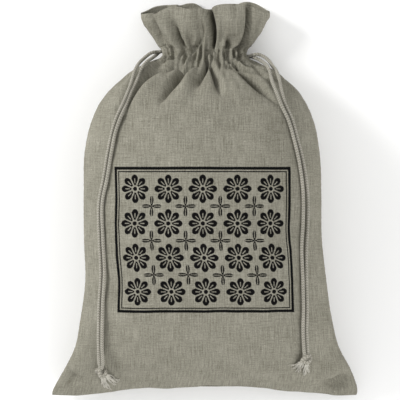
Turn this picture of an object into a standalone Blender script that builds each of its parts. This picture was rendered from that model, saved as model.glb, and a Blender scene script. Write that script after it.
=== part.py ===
"""A filled linen bread bag with two drawstrings, lying on its back with its front up.

Metres, +Z up, mouth towards +Y. The origin is on the surface, under the middle of the bag.
Each panel is one layer of cloth that follows a table of cross-sections and a table of folds.
Its top is turned down inside as a deep hem, and the drawstrings run in a channel in that hem.
"""
import math

import bmesh
import bpy
import numpy as np
from mathutils import Vector
from mathutils.bvhtree import BVHTree

MM = 0.001

# Cloth
CLOTH = 1.2 * MM            # thickness of one layer
SEAM_GAP = 0.3 * MM         # parting between the panels along the side and bottom seams
HEM_GAP = 0.7 * MM          # parting between the two layers of the hem
BOTTOM_BOW = 9.5 * MM       # rise of the middle of the bottom seam
BOTTOM_BOW_REACH = 45 * MM  # how far up the panel the bow fades out
BOTTOM_HALF = 146 * MM      # half of the bottom seam, over which it bows and its corners sag
CORNER_DROOP = 9 * MM       # how far the bottom corners sag
MOUTH_REACH = 26 * MM       # how far below the mouth its uneven edge pulls the cloth along
FOLD_RIM = 0.45             # how high a fold's two edges stand, against the fold itself
FOLD_FADE_IN = 3.5          # how fast a fold reaches its full height from its first point
FOLD_FADE_OUT = 2.2         # how fast it fades towards its last point

# Drawstring channel, between two rows of stitching
CHANNEL_Y = 142.0 * MM      # middle of the channel
CHANNEL_HALF = 6 * MM       # half of the channel's height
CHANNEL_DEPTH = 5.0 * MM    # room between the two layers
CHANNEL_PUFF = 0.8 * MM     # how far the outer layer swells over the cords
CHANNEL_SLOPE = 4 * MM      # how far the cloth takes to open out into the channel
SIDE_OPENING = 5.6 * MM     # half of the opening in each side seam
HEM_END = 8.5 * MM          # how far the hem reaches below the channel's middle

# Drawstrings
CORD = 3.5 * MM             # diameter
CORD_GAP = 0.8 * MM         # parting between a cord and what it lies on
CORD_STEP = 8.4 * MM        # mean spacing of the points along a cord
CORD_CROWDING = 1.3         # sets the points closer together where the cord leaves the channel
END_GAP = 0.5 * MM          # parting between the run in the channel and the free strand
LANE = 2.25 * MM            # each cord runs this far from the channel's middle
CHANNEL_START = 0.86        # a cord's run starts at this share of the way to the side seam
CHANNEL_STEPS = 13          # points of a cord's run along each panel
STRAIGHT_START = 1.5 * MM   # a free strand starts straight for this long
FIXED_START = 12            # steps of a free strand's path that keep their given heights
ENVELOPE = 5                # steps over which a free strand's height is evened out
KNOT_RADIUS = 4.3 * MM
KNOT_GAP = 0.3 * MM
KNOT_LUMP = 0.06            # how deep the three hollows between a knot's turns are
KNOT_TWIST = 2.2            # how far those hollows wind round the knot
KNOT_CUTS = 3               # splits each side of a knot into 4 by 4 faces, every second one frayed
FRAY_RADIUS = 0.55 * MM     # of a frayed end where it leaves the knot
FRAY_REST = 1.1 * MM        # height of the lowest frayed tips over the cloth
FRAY_LAYER = 1.1 * MM       # height between the layers of frayed tips
FRAY_STEPS = (0.3, 0.62, 1.0)   # where a frayed end bends, as shares of its length
FRAY_TAPER = 0.45           # how much thinner its tip is
FRAY_FAN = 0.08             # how far each layer of frayed ends is turned from the one below
FRAY_UNEVEN = 0.07          # step between the three lengths of frayed ends

# Cross-sections from the bottom seam to the mouth, in millimetres: height of the row, reach of the
# outline to the left and right, height of the seams, rise of the front and depth of the back from
# the seams, squareness of the front and of the back (2 is an ellipse), and height of the pleats.
SECTION_COLUMNS = ("y", "left", "right", "seam", "front", "back", "front_square", "back_square", "pleat")
SECTIONS = (
    (-191.0, 149.2, 148.6, 20.0, 0.0, 0.0, 1.7, 1.7, 0.0),
    (-187.0, 147.5, 148.7, 22.0, 10.0, 9.0, 1.7, 1.7, 0.0),
    (-180.0, 143.7, 147.0, 25.0, 20.0, 17.0, 1.8, 1.8, 0.0),
    (-165.4, 135.3, 141.1, 32.0, 34.0, 30.5, 1.9, 2.0, 0.0),
    (-146.0, 125.6, 130.5, 40.5, 46.0, 41.5, 2.0, 2.3, 0.0),
    (-117.0, 119.5, 122.7, 49.0, 57.0, 50.5, 2.0, 2.5, 0.0),
    (-78.0, 114.5, 116.9, 54.0, 65.5, 56.0, 2.1, 2.6, 0.0),
    (-39.0, 115.7, 112.6, 55.5, 69.0, 57.5, 2.1, 2.6, 0.0),
    (9.0, 115.9, 112.0, 55.5, 70.0, 57.5, 2.1, 2.6, 0.0),
    (48.0, 114.7, 110.1, 54.0, 67.5, 56.0, 2.1, 2.6, 0.0),
    (77.0, 108.0, 104.3, 50.5, 61.0, 52.0, 2.1, 2.5, 0.0),
    (96.5, 98.5, 95.5, 45.0, 52.0, 44.5, 2.1, 2.3, 0.3),
    (106.2, 90.7, 88.8, 41.0, 45.5, 38.5, 2.1, 2.2, 0.7),
    (116.0, 80.0, 78.1, 36.0, 37.5, 31.0, 2.1, 2.1, 1.2),
    (125.6, 67.0, 66.6, 31.0, 29.0, 24.0, 2.0, 2.0, 1.7),
    (132.0, 52.6, 52.6, 27.0, 22.0, 19.5, 2.0, 2.0, 1.9),
    (136.8, 44.4, 44.4, 25.0, 18.2, 17.4, 2.0, 2.0, 1.9),
    (147.0, 43.2, 43.2, 22.5, 17.0, 17.0, 2.0, 2.0, 1.8),
    (155.7, 47.4, 48.6, 22.0, 18.5, 18.0, 2.0, 2.0, 1.2),
    (164.4, 53.4, 54.8, 22.5, 21.0, 19.5, 2.1, 2.1, 0.6),
    (173.1, 58.5, 58.7, 23.0, 22.5, 20.5, 2.2, 2.2, 0.2),
    (181.9, 60.8, 62.6, 23.5, 23.0, 21.0, 2.2, 2.2, 0.0),
    (192.0, 60.2, 61.0, 23.5, 23.0, 21.0, 2.2, 2.2, 0.0),
)

# Folds of the front, in millimetres: three points along each, its rise (a groove is negative), its
# half-width, and its strength at the first and last point.
FOLD_COLUMNS = ("x1", "y1", "x2", "y2", "x3", "y3", "rise", "width", "first", "last")
FRONT_FOLDS = (
    (0.5, 190.0, 7.5, 165.0, 4.9, 146.0, -8.5, 4.6, 1.0, 0.2),
    (45.0, 190.0, 41.5, 165.0, 29.0, 145.0, -6.0, 5.0, 1.0, 0.2),
    (21.5, 164.0, 22.6, 150.0, 24.0, 140.0, -3.0, 3.6, 0.0, 0.3),
    (-32.0, 190.0, -27.0, 165.0, -20.0, 148.0, -4.5, 7.5, 0.8, 0.2),
    (-3.5, 160.0, -6.5, 149.0, -15.0, 141.0, -3.0, 3.6, 0.0, 0.2),
    (-14.0, 190.0, -13.0, 172.0, -12.0, 156.0, 3.5, 9.0, 1.0, 0.0),
    (22.0, 190.0, 24.0, 176.0, 26.0, 160.0, 3.0, 9.0, 1.0, 0.0),
    (-53.0, 190.0, -50.0, 170.0, -42.0, 152.0, 2.5, 6.5, 1.0, 0.0),
    (-34.4, 125.0, -61.0, 112.0, -79.0, 86.0, -4.6, 5.4, 0.4, 0.0),
    (-9.0, 128.5, -34.0, 113.0, -50.0, 90.0, -4.2, 5.4, 0.4, 0.0),
    (2.5, 129.5, -6.0, 121.7, -13.0, 110.0, -4.0, 4.6, 0.4, 0.0),
    (7.5, 124.0, 10.5, 112.0, 15.0, 96.0, -3.0, 5.6, 0.3, 0.0),
    (22.8, 122.0, 42.0, 113.0, 64.5, 92.0, -4.8, 5.2, 0.4, 0.0),
    (29.0, 127.0, 44.0, 122.5, 60.0, 118.0, -3.6, 4.0, 0.4, 0.0),
    (35.0, 139.0, 42.0, 131.5, 54.0, 127.0, -2.4, 3.8, 0.2, 0.0),
    (68.0, 122.0, 93.0, 73.0, 103.0, 0.0, 1.8, 7.0, 0.0, 0.0),
    (-74.0, 103.0, -86.0, 84.0, -98.0, 62.0, 2.0, 7.0, 0.0, 0.0),
    (-138.0, -170.0, -130.0, -175.0, -118.0, -182.0, -3.5, 7.5, 0.2, 0.0),
    (137.0, -174.0, 128.0, -179.0, 115.0, -184.0, -3.5, 7.5, 0.2, 0.0),
)
BACK_FOLDS = (
    (-30.0, 190.0, -26.0, 168.0, -20.0, 148.0, -5.5, 6.0, 1.0, 0.2),
    (12.0, 190.0, 10.0, 168.0, 7.0, 148.0, -6.5, 6.0, 1.0, 0.2),
    (40.0, 190.0, 36.0, 168.0, 28.0, 150.0, -4.5, 5.5, 1.0, 0.2),
    (-24.0, 132.0, -44.0, 116.0, -62.0, 92.0, -3.2, 5.5, 0.3, 0.0),
    (0.0, 132.0, -3.0, 118.0, -8.0, 100.0, -3.0, 5.5, 0.3, 0.0),
    (26.0, 132.0, 44.0, 118.0, 62.0, 95.0, -3.2, 5.5, 0.3, 0.0),
)

# Mouth edge, in millimetres: place across the mouth and height of each panel's edge.
MOUTH_COLUMNS = ("x", "front", "back")
MOUTH = (
    (-62.0, 180.0, 181.5),
    (-50.0, 182.0, 186.5),
    (-38.0, 185.5, 188.5),
    (-30.0, 185.8, 186.5),
    (-16.0, 184.0, 188.5),
    (-4.0, 185.0, 187.0),
    (2.0, 182.5, 183.0),
    (11.0, 187.6, 185.5),
    (26.0, 189.0, 186.0),
    (42.0, 188.5, 190.2),
    (50.0, 186.5, 189.8),
    (62.0, 182.0, 183.5),
)

# Rows of each panel, in millimetres: from, to, number of rows.
BAND_COLUMNS = ("start", "end", "rows")
BANDS = (
    (-191.0, -180.0, 2),
    (-180.0, -146.0, 2),
    (-146.0, 77.0, 7),
    (77.0, 130.0, 8),
    (130.0, 153.0, 6),
    (153.0, 186.0, 4),
)
FRONT_PLEATS = 11
BACK_PLEATS = 7
COLUMNS_A_PLEAT = 4

# Unevenness of the pleats across a panel: size, number of waves and start of each wave.
SWAY_COLUMNS = ("size", "waves", "start")
PLEAT_SWAYS = (
    (0.045, 7.3, 0.6),
    (0.020, 17.0, 0.0),
)

# How finely curves are sampled before points are read from them
SECTION_SAMPLES = 241
FOLD_SAMPLES = 25
ROUTE_SAMPLES = 1500

# Routes of the free strands over the front, in millimetres from the side opening to the knot: x, y
# and, where the strand stands clear of the cloth, its height above the side seam.
LEFT_OUTER_ROUTE = (
    (-43.6, 144.3, 2.4), (-51.0, 143.3, 3.6), (-59.5, 137.0, 7.5), (-67.2, 125.8, 17.5),
    (-71.8, 110.1, None), (-78.0, 94.0, None), (-84.6, 79.1, None), (-88.8, 65.5, None),
    (-92.4, 48.0, None), (-97.0, 20.3, None), (-101.0, -0.5, None), (-100.9, -39.3, None),
    (-99.6, -70.3, None), (-101.4, -100.0, None), (-101.8, -126.6, None), (-102.0, -146.0, None),
    (-101.6, -159.4, None),
)
LEFT_INNER_ROUTE = (
    (-43.6, 144.3, -2.4), (-48.4, 139.9, -1.2), (-56.2, 133.6, 7.0), (-62.2, 124.6, 23.5),
    (-66.3, 113.0, None), (-71.2, 102.0, None), (-75.0, 92.0, None), (-81.2, 77.6, None),
    (-85.4, 65.5, None), (-89.0, 48.0, None), (-93.6, 20.3, None), (-97.9, -0.5, None),
    (-97.7, -39.3, None), (-96.3, -70.3, None), (-98.0, -100.0, None), (-98.2, -126.6, None),
    (-98.0, -146.0, None), (-97.2, -159.4, None),
)
RIGHT_OUTER_ROUTE = (
    (43.8, 139.9, 2.4), (52.0, 141.6, 3.6), (59.2, 138.4, 5.5), (66.4, 129.5, 11.0),
    (71.6, 119.6, 22.5), (74.2, 104.3, None), (77.4, 93.0, None), (84.2, 77.1, None),
    (89.3, 58.2, None), (93.9, 40.3, None), (99.0, 5.0, None), (99.3, -19.9, None),
    (98.3, -48.0, None), (98.2, -73.2, None), (99.6, -105.0, None), (99.9, -126.6, None),
    (101.6, -150.0, None),
)
RIGHT_INNER_ROUTE = (
    (43.8, 139.9, -2.4), (50.5, 137.6, -1.0), (58.4, 132.6, 8.5), (63.0, 124.8, 24.0),
    (66.0, 112.0, None), (69.6, 102.5, None), (73.4, 92.0, None), (80.6, 76.0, None),
    (85.8, 58.2, None), (90.0, 40.3, None), (94.6, 5.0, None), (94.6, -19.9, None),
    (92.8, -48.0, None), (94.2, -73.2, None), (95.9, -105.0, None), (96.0, -126.6, None),
    (97.2, -150.0, None),
)

# Knots, in millimetres: middle of the knot, then the two ends of the line that the frayed tips reach.
KNOT_COLUMNS = ("x", "y", "tip_x1", "tip_y1", "tip_x2", "tip_y2")
LEFT_KNOT = (-99.4, -164.6, -101.5, -177.0, -84.5, -182.5)
RIGHT_KNOT = (99.4, -155.2, 84.0, -164.5, 103.5, -171.5)

# Colours as linear RGB, with roughness
LINEN = (0.262, 0.246, 0.197)
COTTON = (0.330, 0.312, 0.255)
LINEN_ROUGHNESS = 0.92
COTTON_ROUGHNESS = 0.88


def column(table, names, name):
    """Give one named column of a table in metres."""
    place = names.index(name)
    return np.array([row[place] for row in table]) * MM


def smooth_table(table, names, name, at):
    """Read a column of a table at the given rows, along a smooth curve through its values."""
    known = column(table, names, names[0])
    values = column(table, names, name)
    slopes = np.gradient(values, known)
    at = np.clip(at, known[0], known[-1])
    low = np.clip(np.searchsorted(known, at, side="right") - 1, 0, len(known) - 2)
    span = known[low + 1] - known[low]
    t = (at - known[low]) / span
    return ((2 * t**3 - 3 * t**2 + 1) * values[low] + (t**3 - 2 * t**2 + t) * span * slopes[low]
            + (3 * t**2 - 2 * t**3) * values[low + 1] + (t**3 - t**2) * span * slopes[low + 1])


def bell(distance, width):
    """Give 1 at distance 0, falling smoothly to 0 at a few widths."""
    return np.exp(-(distance / width) ** 2)


def channel_weight(y):
    """Give 1 inside the drawstring channel and 0 outside it, with a short slope between."""
    beyond = (np.abs(y - CHANNEL_Y) - CHANNEL_HALF) / CHANNEL_SLOPE + 0.25
    return 1 - np.clip(beyond, 0, 1)


def section_points(y, places, side, lift):
    """Give x and z of the smooth cloth at heights y, spaced evenly round the section.

    places run from -1 at the left seam to 1 at the right seam, and side is 1 for the front and -1
    for the back. z is measured from the seams, and lift is how far the panel's edge stands off them.
    """
    left = smooth_table(SECTIONS, SECTION_COLUMNS, "left", y)
    right = smooth_table(SECTIONS, SECTION_COLUMNS, "right", y)
    name = "front" if side > 0 else "back"
    rise = np.maximum(smooth_table(SECTIONS, SECTION_COLUMNS, name, y), 0)
    square = smooth_table(SECTIONS, SECTION_COLUMNS, name + "_square", y) / MM
    share = np.clip(lift / np.maximum(rise, MM), 0, 0.9)
    edge = np.arccos(share ** (square / 2))
    turn = np.linspace(-1, 1, SECTION_SAMPLES)[None, :] * edge[:, None]
    power = 2 / square[:, None]
    across = np.sign(np.sin(turn)) * np.abs(np.sin(turn)) ** power
    fine_x = across * np.where(across < 0, left[:, None], right[:, None])
    fine_z = rise[:, None] * np.abs(np.cos(turn)) ** power
    steps = np.hypot(np.diff(fine_x, axis=1), np.diff(fine_z, axis=1))
    length = np.concatenate([np.zeros((len(y), 1)), np.cumsum(steps, axis=1)], axis=1)
    x = np.empty((len(y), len(places)))
    z = np.empty_like(x)
    for row in range(len(y)):
        wanted = (places + 1) / 2 * length[row, -1]
        x[row] = np.interp(wanted, length[row], fine_x[row])
        z[row] = np.interp(wanted, length[row], fine_z[row])
    return x, side * (z + SEAM_GAP / 2)


def seam_surface(x, y):
    """Give the height of the surface between the panels, which holds the side and bottom seams."""
    bottom = SECTIONS[0][0] * MM
    outwards = np.clip(np.abs(x) / BOTTOM_HALF, 0, 1)
    sag = CORNER_DROOP * outwards**3 * bell(y - bottom, BOTTOM_BOW_REACH)
    return smooth_table(SECTIONS, SECTION_COLUMNS, "seam", y) - sag


def edge_shift(x, y, side):
    """Give how far a row's points move along Y: the bow of the bottom seam and the uneven mouth."""
    bottom = SECTIONS[0][0] * MM
    bow = BOTTOM_BOW * np.clip(1 - (x / BOTTOM_HALF) ** 4, 0, 1) * bell(y - bottom, BOTTOM_BOW_REACH)
    mouth = smooth_table(MOUTH, MOUTH_COLUMNS, "front" if side > 0 else "back", x)
    top = BANDS[-1][1] * MM
    reach = np.clip(1 + (y - top) / MOUTH_REACH, 0, 1.3)
    return bow + (mouth - top) * reach**2


def fold_height(table, x, y):
    """Give the height of all the folds of a table at the points x, y of the cloth."""
    total = np.zeros_like(x)
    for row in table:
        fold = dict(zip(FOLD_COLUMNS, row))
        t = np.linspace(0, 1, FOLD_SAMPLES)
        weights = ((1 - t) * (1 - 2 * t), 4 * t * (1 - t), t * (2 * t - 1))
        line_x = sum(w * fold[name] * MM for w, name in zip(weights, ("x1", "x2", "x3")))
        line_y = sum(w * fold[name] * MM for w, name in zip(weights, ("y1", "y2", "y3")))
        distance = np.hypot(x[..., None] - line_x, y[..., None] - line_y)
        nearest = distance.argmin(axis=-1)
        away = distance.min(axis=-1) / (fold["width"] * MM)
        along = t[nearest]
        ends = np.minimum(fold["first"] + along * FOLD_FADE_IN, fold["last"] + (1 - along) * FOLD_FADE_OUT)
        strength = np.clip(ends, 0, 1)
        total += fold["rise"] * MM * strength * (1 - FOLD_RIM * away**2) * np.exp(-away**2)
    return total


def pleat_height(places, y, pleats):
    """Give the height of the gathers, which are deepest at the drawstring channel."""
    depth = smooth_table(SECTIONS, SECTION_COLUMNS, "pleat", y)
    uneven = places + sum(size * np.sin(waves * places + start) for size, waves, start in PLEAT_SWAYS)
    wave = np.cos(math.pi * pleats * uneven) * np.clip((1 - np.abs(places)) * 8, 0, 1)
    return depth[:, None] * wave[None, :]


def unit(vectors):
    """Scale vectors to length 1."""
    return vectors / np.maximum(np.linalg.norm(vectors, axis=-1, keepdims=True), 1e-12)


def smooth_cloth(places, y, side, lift):
    """Give the points of the cloth without folds, and its outward direction at each."""

    def surface(columns, rows):
        x, z = section_points(rows, columns, side, lift)
        moved = rows[:, None] + edge_shift(x, rows[:, None], side)
        return np.stack([x, moved, seam_surface(x, moved) + z], axis=-1)

    nudge = 0.4 * MM
    tilt = 0.002
    low, high = np.clip(places - tilt, -1, 1), np.clip(places + tilt, -1, 1)
    around = surface(high, y) - surface(low, y)
    along = surface(places, y + nudge) - surface(places, y - nudge)
    return surface(places, y), unit(side * np.cross(around, along))


def cloth_points(places, y, inward, side):
    """Give the points of one face of the cloth.

    y is the height of each row, and inward is how far each row lies inside the smooth surface.
    """
    base, outward = smooth_cloth(places, y, side, SIDE_OPENING * channel_weight(y))
    pleats, folds = (FRONT_PLEATS, FRONT_FOLDS) if side > 0 else (BACK_PLEATS, BACK_FOLDS)
    height = fold_height(folds, base[..., 0], base[..., 1]) * np.clip((1 - np.abs(places)) * 10, 0, 1)
    height += pleat_height(places, y, pleats)
    weight = channel_weight(y)[:, None]
    is_hem = inward[:, None] > 0.9 * HEM_GAP
    bulge = np.where(is_hem, np.minimum(height, 0), np.maximum(height, 0))
    height = (1 - weight) * height + weight * bulge
    height += CHANNEL_PUFF * weight * ~is_hem
    points = base + outward * (height - inward[:, None])[..., None]
    level = seam_surface(points[..., 0], points[..., 1]) + side * SEAM_GAP / 2
    points[..., 2] = side * np.maximum(side * points[..., 2], side * level)
    floor = np.where(inward <= -CLOTH, 0.0, CLOTH)[:, None]
    points[..., 2] = np.maximum(points[..., 2], floor)
    return points


def panel_rows():
    """Give height and inward offset of each row, for the inner and outer faces of a panel.

    The rows climb from the bottom seam to the mouth, turn over it and go down inside as the hem.
    """
    heights = [BANDS[0][0] * MM]
    for start, end, rows in BANDS:
        heights.extend(np.linspace(start, end, rows + 1)[1:] * MM)
    heights = np.array(heights)
    hem = heights[heights > CHANNEL_Y - HEM_END][::-1]
    room = HEM_GAP + (CHANNEL_DEPTH - HEM_GAP) * channel_weight(hem)
    mouth = heights[-1]
    turn = HEM_GAP / 2 + CLOTH
    inner_y = np.concatenate([heights, [mouth - CLOTH], hem])
    inner_y[len(heights) - 1] -= CLOTH
    inner_y[len(heights) + 1] -= CLOTH
    outer_y = np.concatenate([heights, [mouth + turn / 2], hem])
    inner_off = np.concatenate([0 * heights, [HEM_GAP / 2], room])
    outer_off = np.concatenate([0 * heights - CLOTH, [HEM_GAP / 2], room + CLOTH])
    return (inner_y, inner_off), (outer_y, outer_off)


def build_panel(name, side, pleats):
    """Build one panel of the bag as a closed sheet of cloth with a turned-in hem."""
    (inner_y, inner_off), (outer_y, outer_off) = panel_rows()
    columns = pleats * COLUMNS_A_PLEAT
    rows = len(inner_y) - 1
    places = np.linspace(-1, 1, columns + 1)
    inner = cloth_points(places, inner_y, inner_off, side)
    outer = cloth_points(places, outer_y, outer_off, side)
    mesh = bmesh.new()
    bmesh.ops.create_grid(mesh, x_segments=columns, y_segments=rows, size=1)
    row_layer = mesh.verts.layers.int.new("row")
    place_layer = mesh.verts.layers.int.new("place")
    for vert in mesh.verts:
        vert[row_layer] = round((vert.co.y + 1) / 2 * rows)
        vert[place_layer] = round((vert.co.x + 1) / 2 * columns)
    split_alike(mesh, row_layer, place_layer, inner_y)
    made = bmesh.ops.extrude_face_region(mesh, geom=mesh.faces[:])["geom"]
    raised = {item for item in made if isinstance(item, bmesh.types.BMVert)}
    for vert in mesh.verts:
        points = outer if vert in raised else inner
        vert.co = points[vert[row_layer], vert[place_layer]]
    bmesh.ops.recalc_face_normals(mesh, faces=mesh.faces[:])
    return finish_mesh(name, mesh, linen_material())


def split_alike(mesh, row_layer, place_layer, heights):
    """Split each face into triangles the same way on both layers of the hem, so they keep apart."""
    for face in mesh.faces[:]:
        first = min(vert[place_layer] for vert in face.verts)
        lowest = min(heights[vert[row_layer]] for vert in face.verts)
        corner = next(vert for vert in face.verts
                      if vert[place_layer] == first and heights[vert[row_layer]] == lowest)
        opposite = next(vert for vert in face.verts
                        if vert[place_layer] != first and vert[row_layer] != corner[row_layer])
        bmesh.utils.face_split(face, corner, opposite)


def finish_mesh(name, mesh, material):
    """Turn a bmesh into a smooth-shaded object in the bag's collection."""
    data = bpy.data.meshes.new(name)
    mesh.to_mesh(data)
    mesh.free()
    data.materials.append(material)
    data.shade_smooth()
    data.set_sharp_from_angle(angle=math.radians(50))
    item = bpy.data.objects.new(name, data)
    bag_collection().objects.link(item)
    return item


def bag_collection():
    """Give the collection that holds the bag's pieces, made when first asked for."""
    found = bpy.data.collections.get("linen_bread_bag")
    if found is None:
        found = bpy.data.collections.new("linen_bread_bag")
        bpy.context.scene.collection.children.link(found)
    return found


def plain_material(name, colour, roughness):
    """Give a plain Principled material, made when first asked for."""
    material = bpy.data.materials.get(name)
    if material is None:
        material = bpy.data.materials.new(name)
        material.use_nodes = True
        shader = material.node_tree.nodes["Principled BSDF"]
        shader.inputs["Base Color"].default_value = (*colour, 1)
        shader.inputs["Roughness"].default_value = roughness
        shader.inputs["Metallic"].default_value = 0
    return material


def linen_material():
    return plain_material("linen", LINEN, LINEN_ROUGHNESS)


def cotton_material():
    return plain_material("cotton_cord", COTTON, COTTON_ROUGHNESS)


def surface_tree(item):
    """Give a search tree of an object's surface."""
    return BVHTree.FromPolygons([vert.co for vert in item.data.vertices],
                                [face.vertices for face in item.data.polygons])


def height_over(tree, x, y):
    """Give the height of the cloth under a point."""
    hit = tree.ray_cast(Vector((x, y, 1.0)), Vector((0, 0, -1)))
    return hit[0].z if hit[0] else None


def ball_height(tree, x, y, radius):
    """Give the lowest height for the middle of a ball that rests on the cloth over a point."""
    best = -1.0
    for share in (0.0, 0.5, 0.8, 0.97):
        for turn in np.linspace(0, 2 * math.pi, 1 if share == 0 else 12, endpoint=False):
            reach = share * radius
            ground = height_over(tree, x + reach * math.cos(turn), y + reach * math.sin(turn))
            if ground is not None:
                best = max(best, ground + math.sqrt(radius**2 - reach**2))
    return best


def smooth_curve(points, step, crowding=1.0):
    """Give points about one step apart along a smooth curve through the given points.

    A crowding above 1 sets the points closer together at the start of the curve.
    """
    points = np.array(points)
    knots = np.concatenate([[0], np.cumsum(np.linalg.norm(np.diff(points, axis=0), axis=1))])
    slopes = np.gradient(points, knots, axis=0)
    fine = np.linspace(0, knots[-1], ROUTE_SAMPLES)
    low = np.clip(np.searchsorted(knots, fine, side="right") - 1, 0, len(knots) - 2)
    span = (knots[low + 1] - knots[low])[:, None]
    t = ((fine - knots[low]) / span[:, 0])[:, None]
    curve = ((2 * t**3 - 3 * t**2 + 1) * points[low] + (t**3 - 2 * t**2 + t) * span * slopes[low]
             + (3 * t**2 - 2 * t**3) * points[low + 1] + (t**3 - t**2) * span * slopes[low + 1])
    run = np.concatenate([[0], np.cumsum(np.linalg.norm(np.diff(curve, axis=0), axis=1))])
    count = max(2, round(run[-1] / step) + 1)
    wanted = run[-1] * np.linspace(0, 1, count) ** crowding
    return np.stack([np.interp(wanted, run, curve[:, axis]) for axis in range(3)], axis=1)


def strand_points(run_before, run_end, route, tree):
    """Lay a free strand over the front, from the end of its run in the channel along its route."""
    heading = unit(run_end - run_before)
    start = [run_end + heading * END_GAP, run_end + heading * (END_GAP + STRAIGHT_START)]
    spots = []
    for x, y, height in route:
        level = float(seam_surface(np.array([x * MM]), np.array([y * MM]))[0])
        spots.append((x * MM, y * MM, level + (height or 0) * MM))
    clear = sum(height is not None for _, _, height in route)
    path = smooth_curve(start + spots, CORD_STEP / 8)
    stands = np.abs(path[:, 1] - spots[clear - 1][1]).argmin()
    wanted = np.array([ball_height(tree, x, y, CORD / 2 + CORD_GAP) for x, y, _ in path])
    wanted[:stands] = np.maximum(wanted[:stands], path[:stands, 2])
    window = 2 * ENVELOPE + 1
    padded = np.pad(wanted, 2 * ENVELOPE, mode="edge")
    highest = np.array([padded[i:i + window].max() for i in range(len(padded) - window + 1)])
    raised = np.convolve(highest, np.ones(window) / window, mode="valid")
    blend = np.clip((np.arange(len(path)) - FIXED_START) / ENVELOPE, 0, 1)
    path[:, 2] += (raised - path[:, 2]) * blend
    return smooth_curve(path, CORD_STEP, CORD_CROWDING)


def build_cord(name, points):
    """Build a cord as a round tube along its points."""
    curve = bpy.data.curves.new(name, "CURVE")
    curve.dimensions = "3D"
    spline = curve.splines.new("POLY")
    spline.points.add(len(points) - 1)
    for spot, point in zip(spline.points, points):
        spot.co = (*point, 1)
    curve.bevel_depth = CORD / 2
    curve.bevel_resolution = 2
    curve.use_fill_caps = True
    curve.materials.append(cotton_material())
    item = bpy.data.objects.new(name, curve)
    bag_collection().objects.link(item)
    return item


def channel_run(lane, way):
    """Give the points of a cord inside the channel, from one side opening round the neck and back.

    way is -1 for the cord that leaves at the left and 1 for the one that leaves at the right.
    """
    halves = []
    for side in (1, -1):
        places = way * np.sin(np.linspace(math.asin(CHANNEL_START), -math.pi / 2, CHANNEL_STEPS))
        y = np.array([CHANNEL_Y + lane])
        base, outward = smooth_cloth(places, y, side, np.array([0.0]))
        halves.append((base - outward * CHANNEL_DEPTH / 2)[0])
    return np.concatenate([halves[0], halves[1][-2::-1]])


def build_knot(name, row, tree):
    """Build a knot with its frayed ends, lying on the front."""
    knot = {key: value * MM for key, value in zip(KNOT_COLUMNS, row)}
    height = ball_height(tree, knot["x"], knot["y"], KNOT_RADIUS + KNOT_GAP)
    centre = Vector((knot["x"], knot["y"], height))
    tips = [Vector((knot["tip_x1"], knot["tip_y1"], 0)), Vector((knot["tip_x2"], knot["tip_y2"], 0))]
    heading = (tips[0] + tips[1]) / 2 - centre
    heading.z = 0
    heading.normalize()
    aside = Vector((0, 0, 1)).cross(heading)
    mesh = bmesh.new()
    bmesh.ops.create_cube(mesh, size=1)
    bmesh.ops.subdivide_edges(mesh, edges=mesh.edges[:], cuts=KNOT_CUTS, use_grid_fill=True)
    order = {face: face.calc_center_median() for face in mesh.faces}
    roots = [face for face, spot in order.items()
             if spot.x > 0.49 and round((spot.y + spot.z) * (KNOT_CUTS + 1)) % 2 == 0]
    for vert in mesh.verts:
        vert.co.normalize()
        turn = math.atan2(vert.co.z, vert.co.y)
        lump = 1 - KNOT_LUMP + KNOT_LUMP * math.cos(3 * turn + KNOT_TWIST * vert.co.x)
        local = vert.co * KNOT_RADIUS * lump
        vert.co = centre + heading * local.x + aside * local.y + Vector((0, 0, local.z))
    if (tips[1] - tips[0]).dot(aside) < 0:
        tips = tips[::-1]
    for face in roots:
        fray(mesh, face, order[face], tips, tree)
    bmesh.ops.recalc_face_normals(mesh, faces=mesh.faces[:])
    return finish_mesh(name, mesh, cotton_material())


def fray(mesh, face, spot, tips, tree):
    """Draw one frayed end out of a face of a knot, over the cloth to its tip.

    spot is the face's place on the knot's side, from -0.5 to 0.5 across and up.
    """
    level = round((spot.z + 0.375) * (KNOT_CUTS + 1))
    share = spot.y + 0.5 + (level - 1.5) * FRAY_FAN
    tip = tips[0].lerp(tips[1], share)
    reach = 1 - FRAY_UNEVEN * ((level * 2 + round(spot.y * 8)) % 3)
    start = face.calc_center_median()
    middle, size = start, face.calc_perimeter() / 8
    for t in FRAY_STEPS:
        face = bmesh.ops.extrude_discrete_faces(mesh, faces=[face])["faces"][0]
        x = start.x + (tip.x - start.x) * t * reach
        y = start.y + (tip.y - start.y) * t * reach
        spot, normal, _, _ = tree.ray_cast(Vector((x, y, 1.0)), Vector((0, 0, -1)))
        rest = spot + normal * (FRAY_REST + FRAY_LAYER * level)
        target = Vector((x, y, start.z)).lerp(rest, t)
        radius = FRAY_RADIUS * (1 - FRAY_TAPER * t)
        for vert in face.verts:
            vert.co = target + (vert.co - middle) * radius / size
        middle, size = target, radius


def main():
    """Clear the scene and build the bag."""
    for item in list(bpy.data.objects):
        bpy.data.objects.remove(item, do_unlink=True)
    front = build_panel("front_panel", 1, FRONT_PLEATS)
    build_panel("back_panel", -1, BACK_PLEATS)
    front_tree = surface_tree(front)
    for way, name, lane, outer_route, inner_route in (
            (-1, "left", LANE, LEFT_OUTER_ROUTE, LEFT_INNER_ROUTE),
            (1, "right", -LANE, RIGHT_OUTER_ROUTE, RIGHT_INNER_ROUTE)):
        run = channel_run(lane, way)
        build_cord(name + "_cord_run", run)
        for strand, before, end, route in (("_outer_strand", run[1], run[0], outer_route),
                                           ("_inner_strand", run[-2], run[-1], inner_route)):
            build_cord(name + strand, strand_points(before, end, route, front_tree))
    build_knot("left_knot", LEFT_KNOT, front_tree)
    build_knot("right_knot", RIGHT_KNOT, front_tree)


main()
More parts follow.
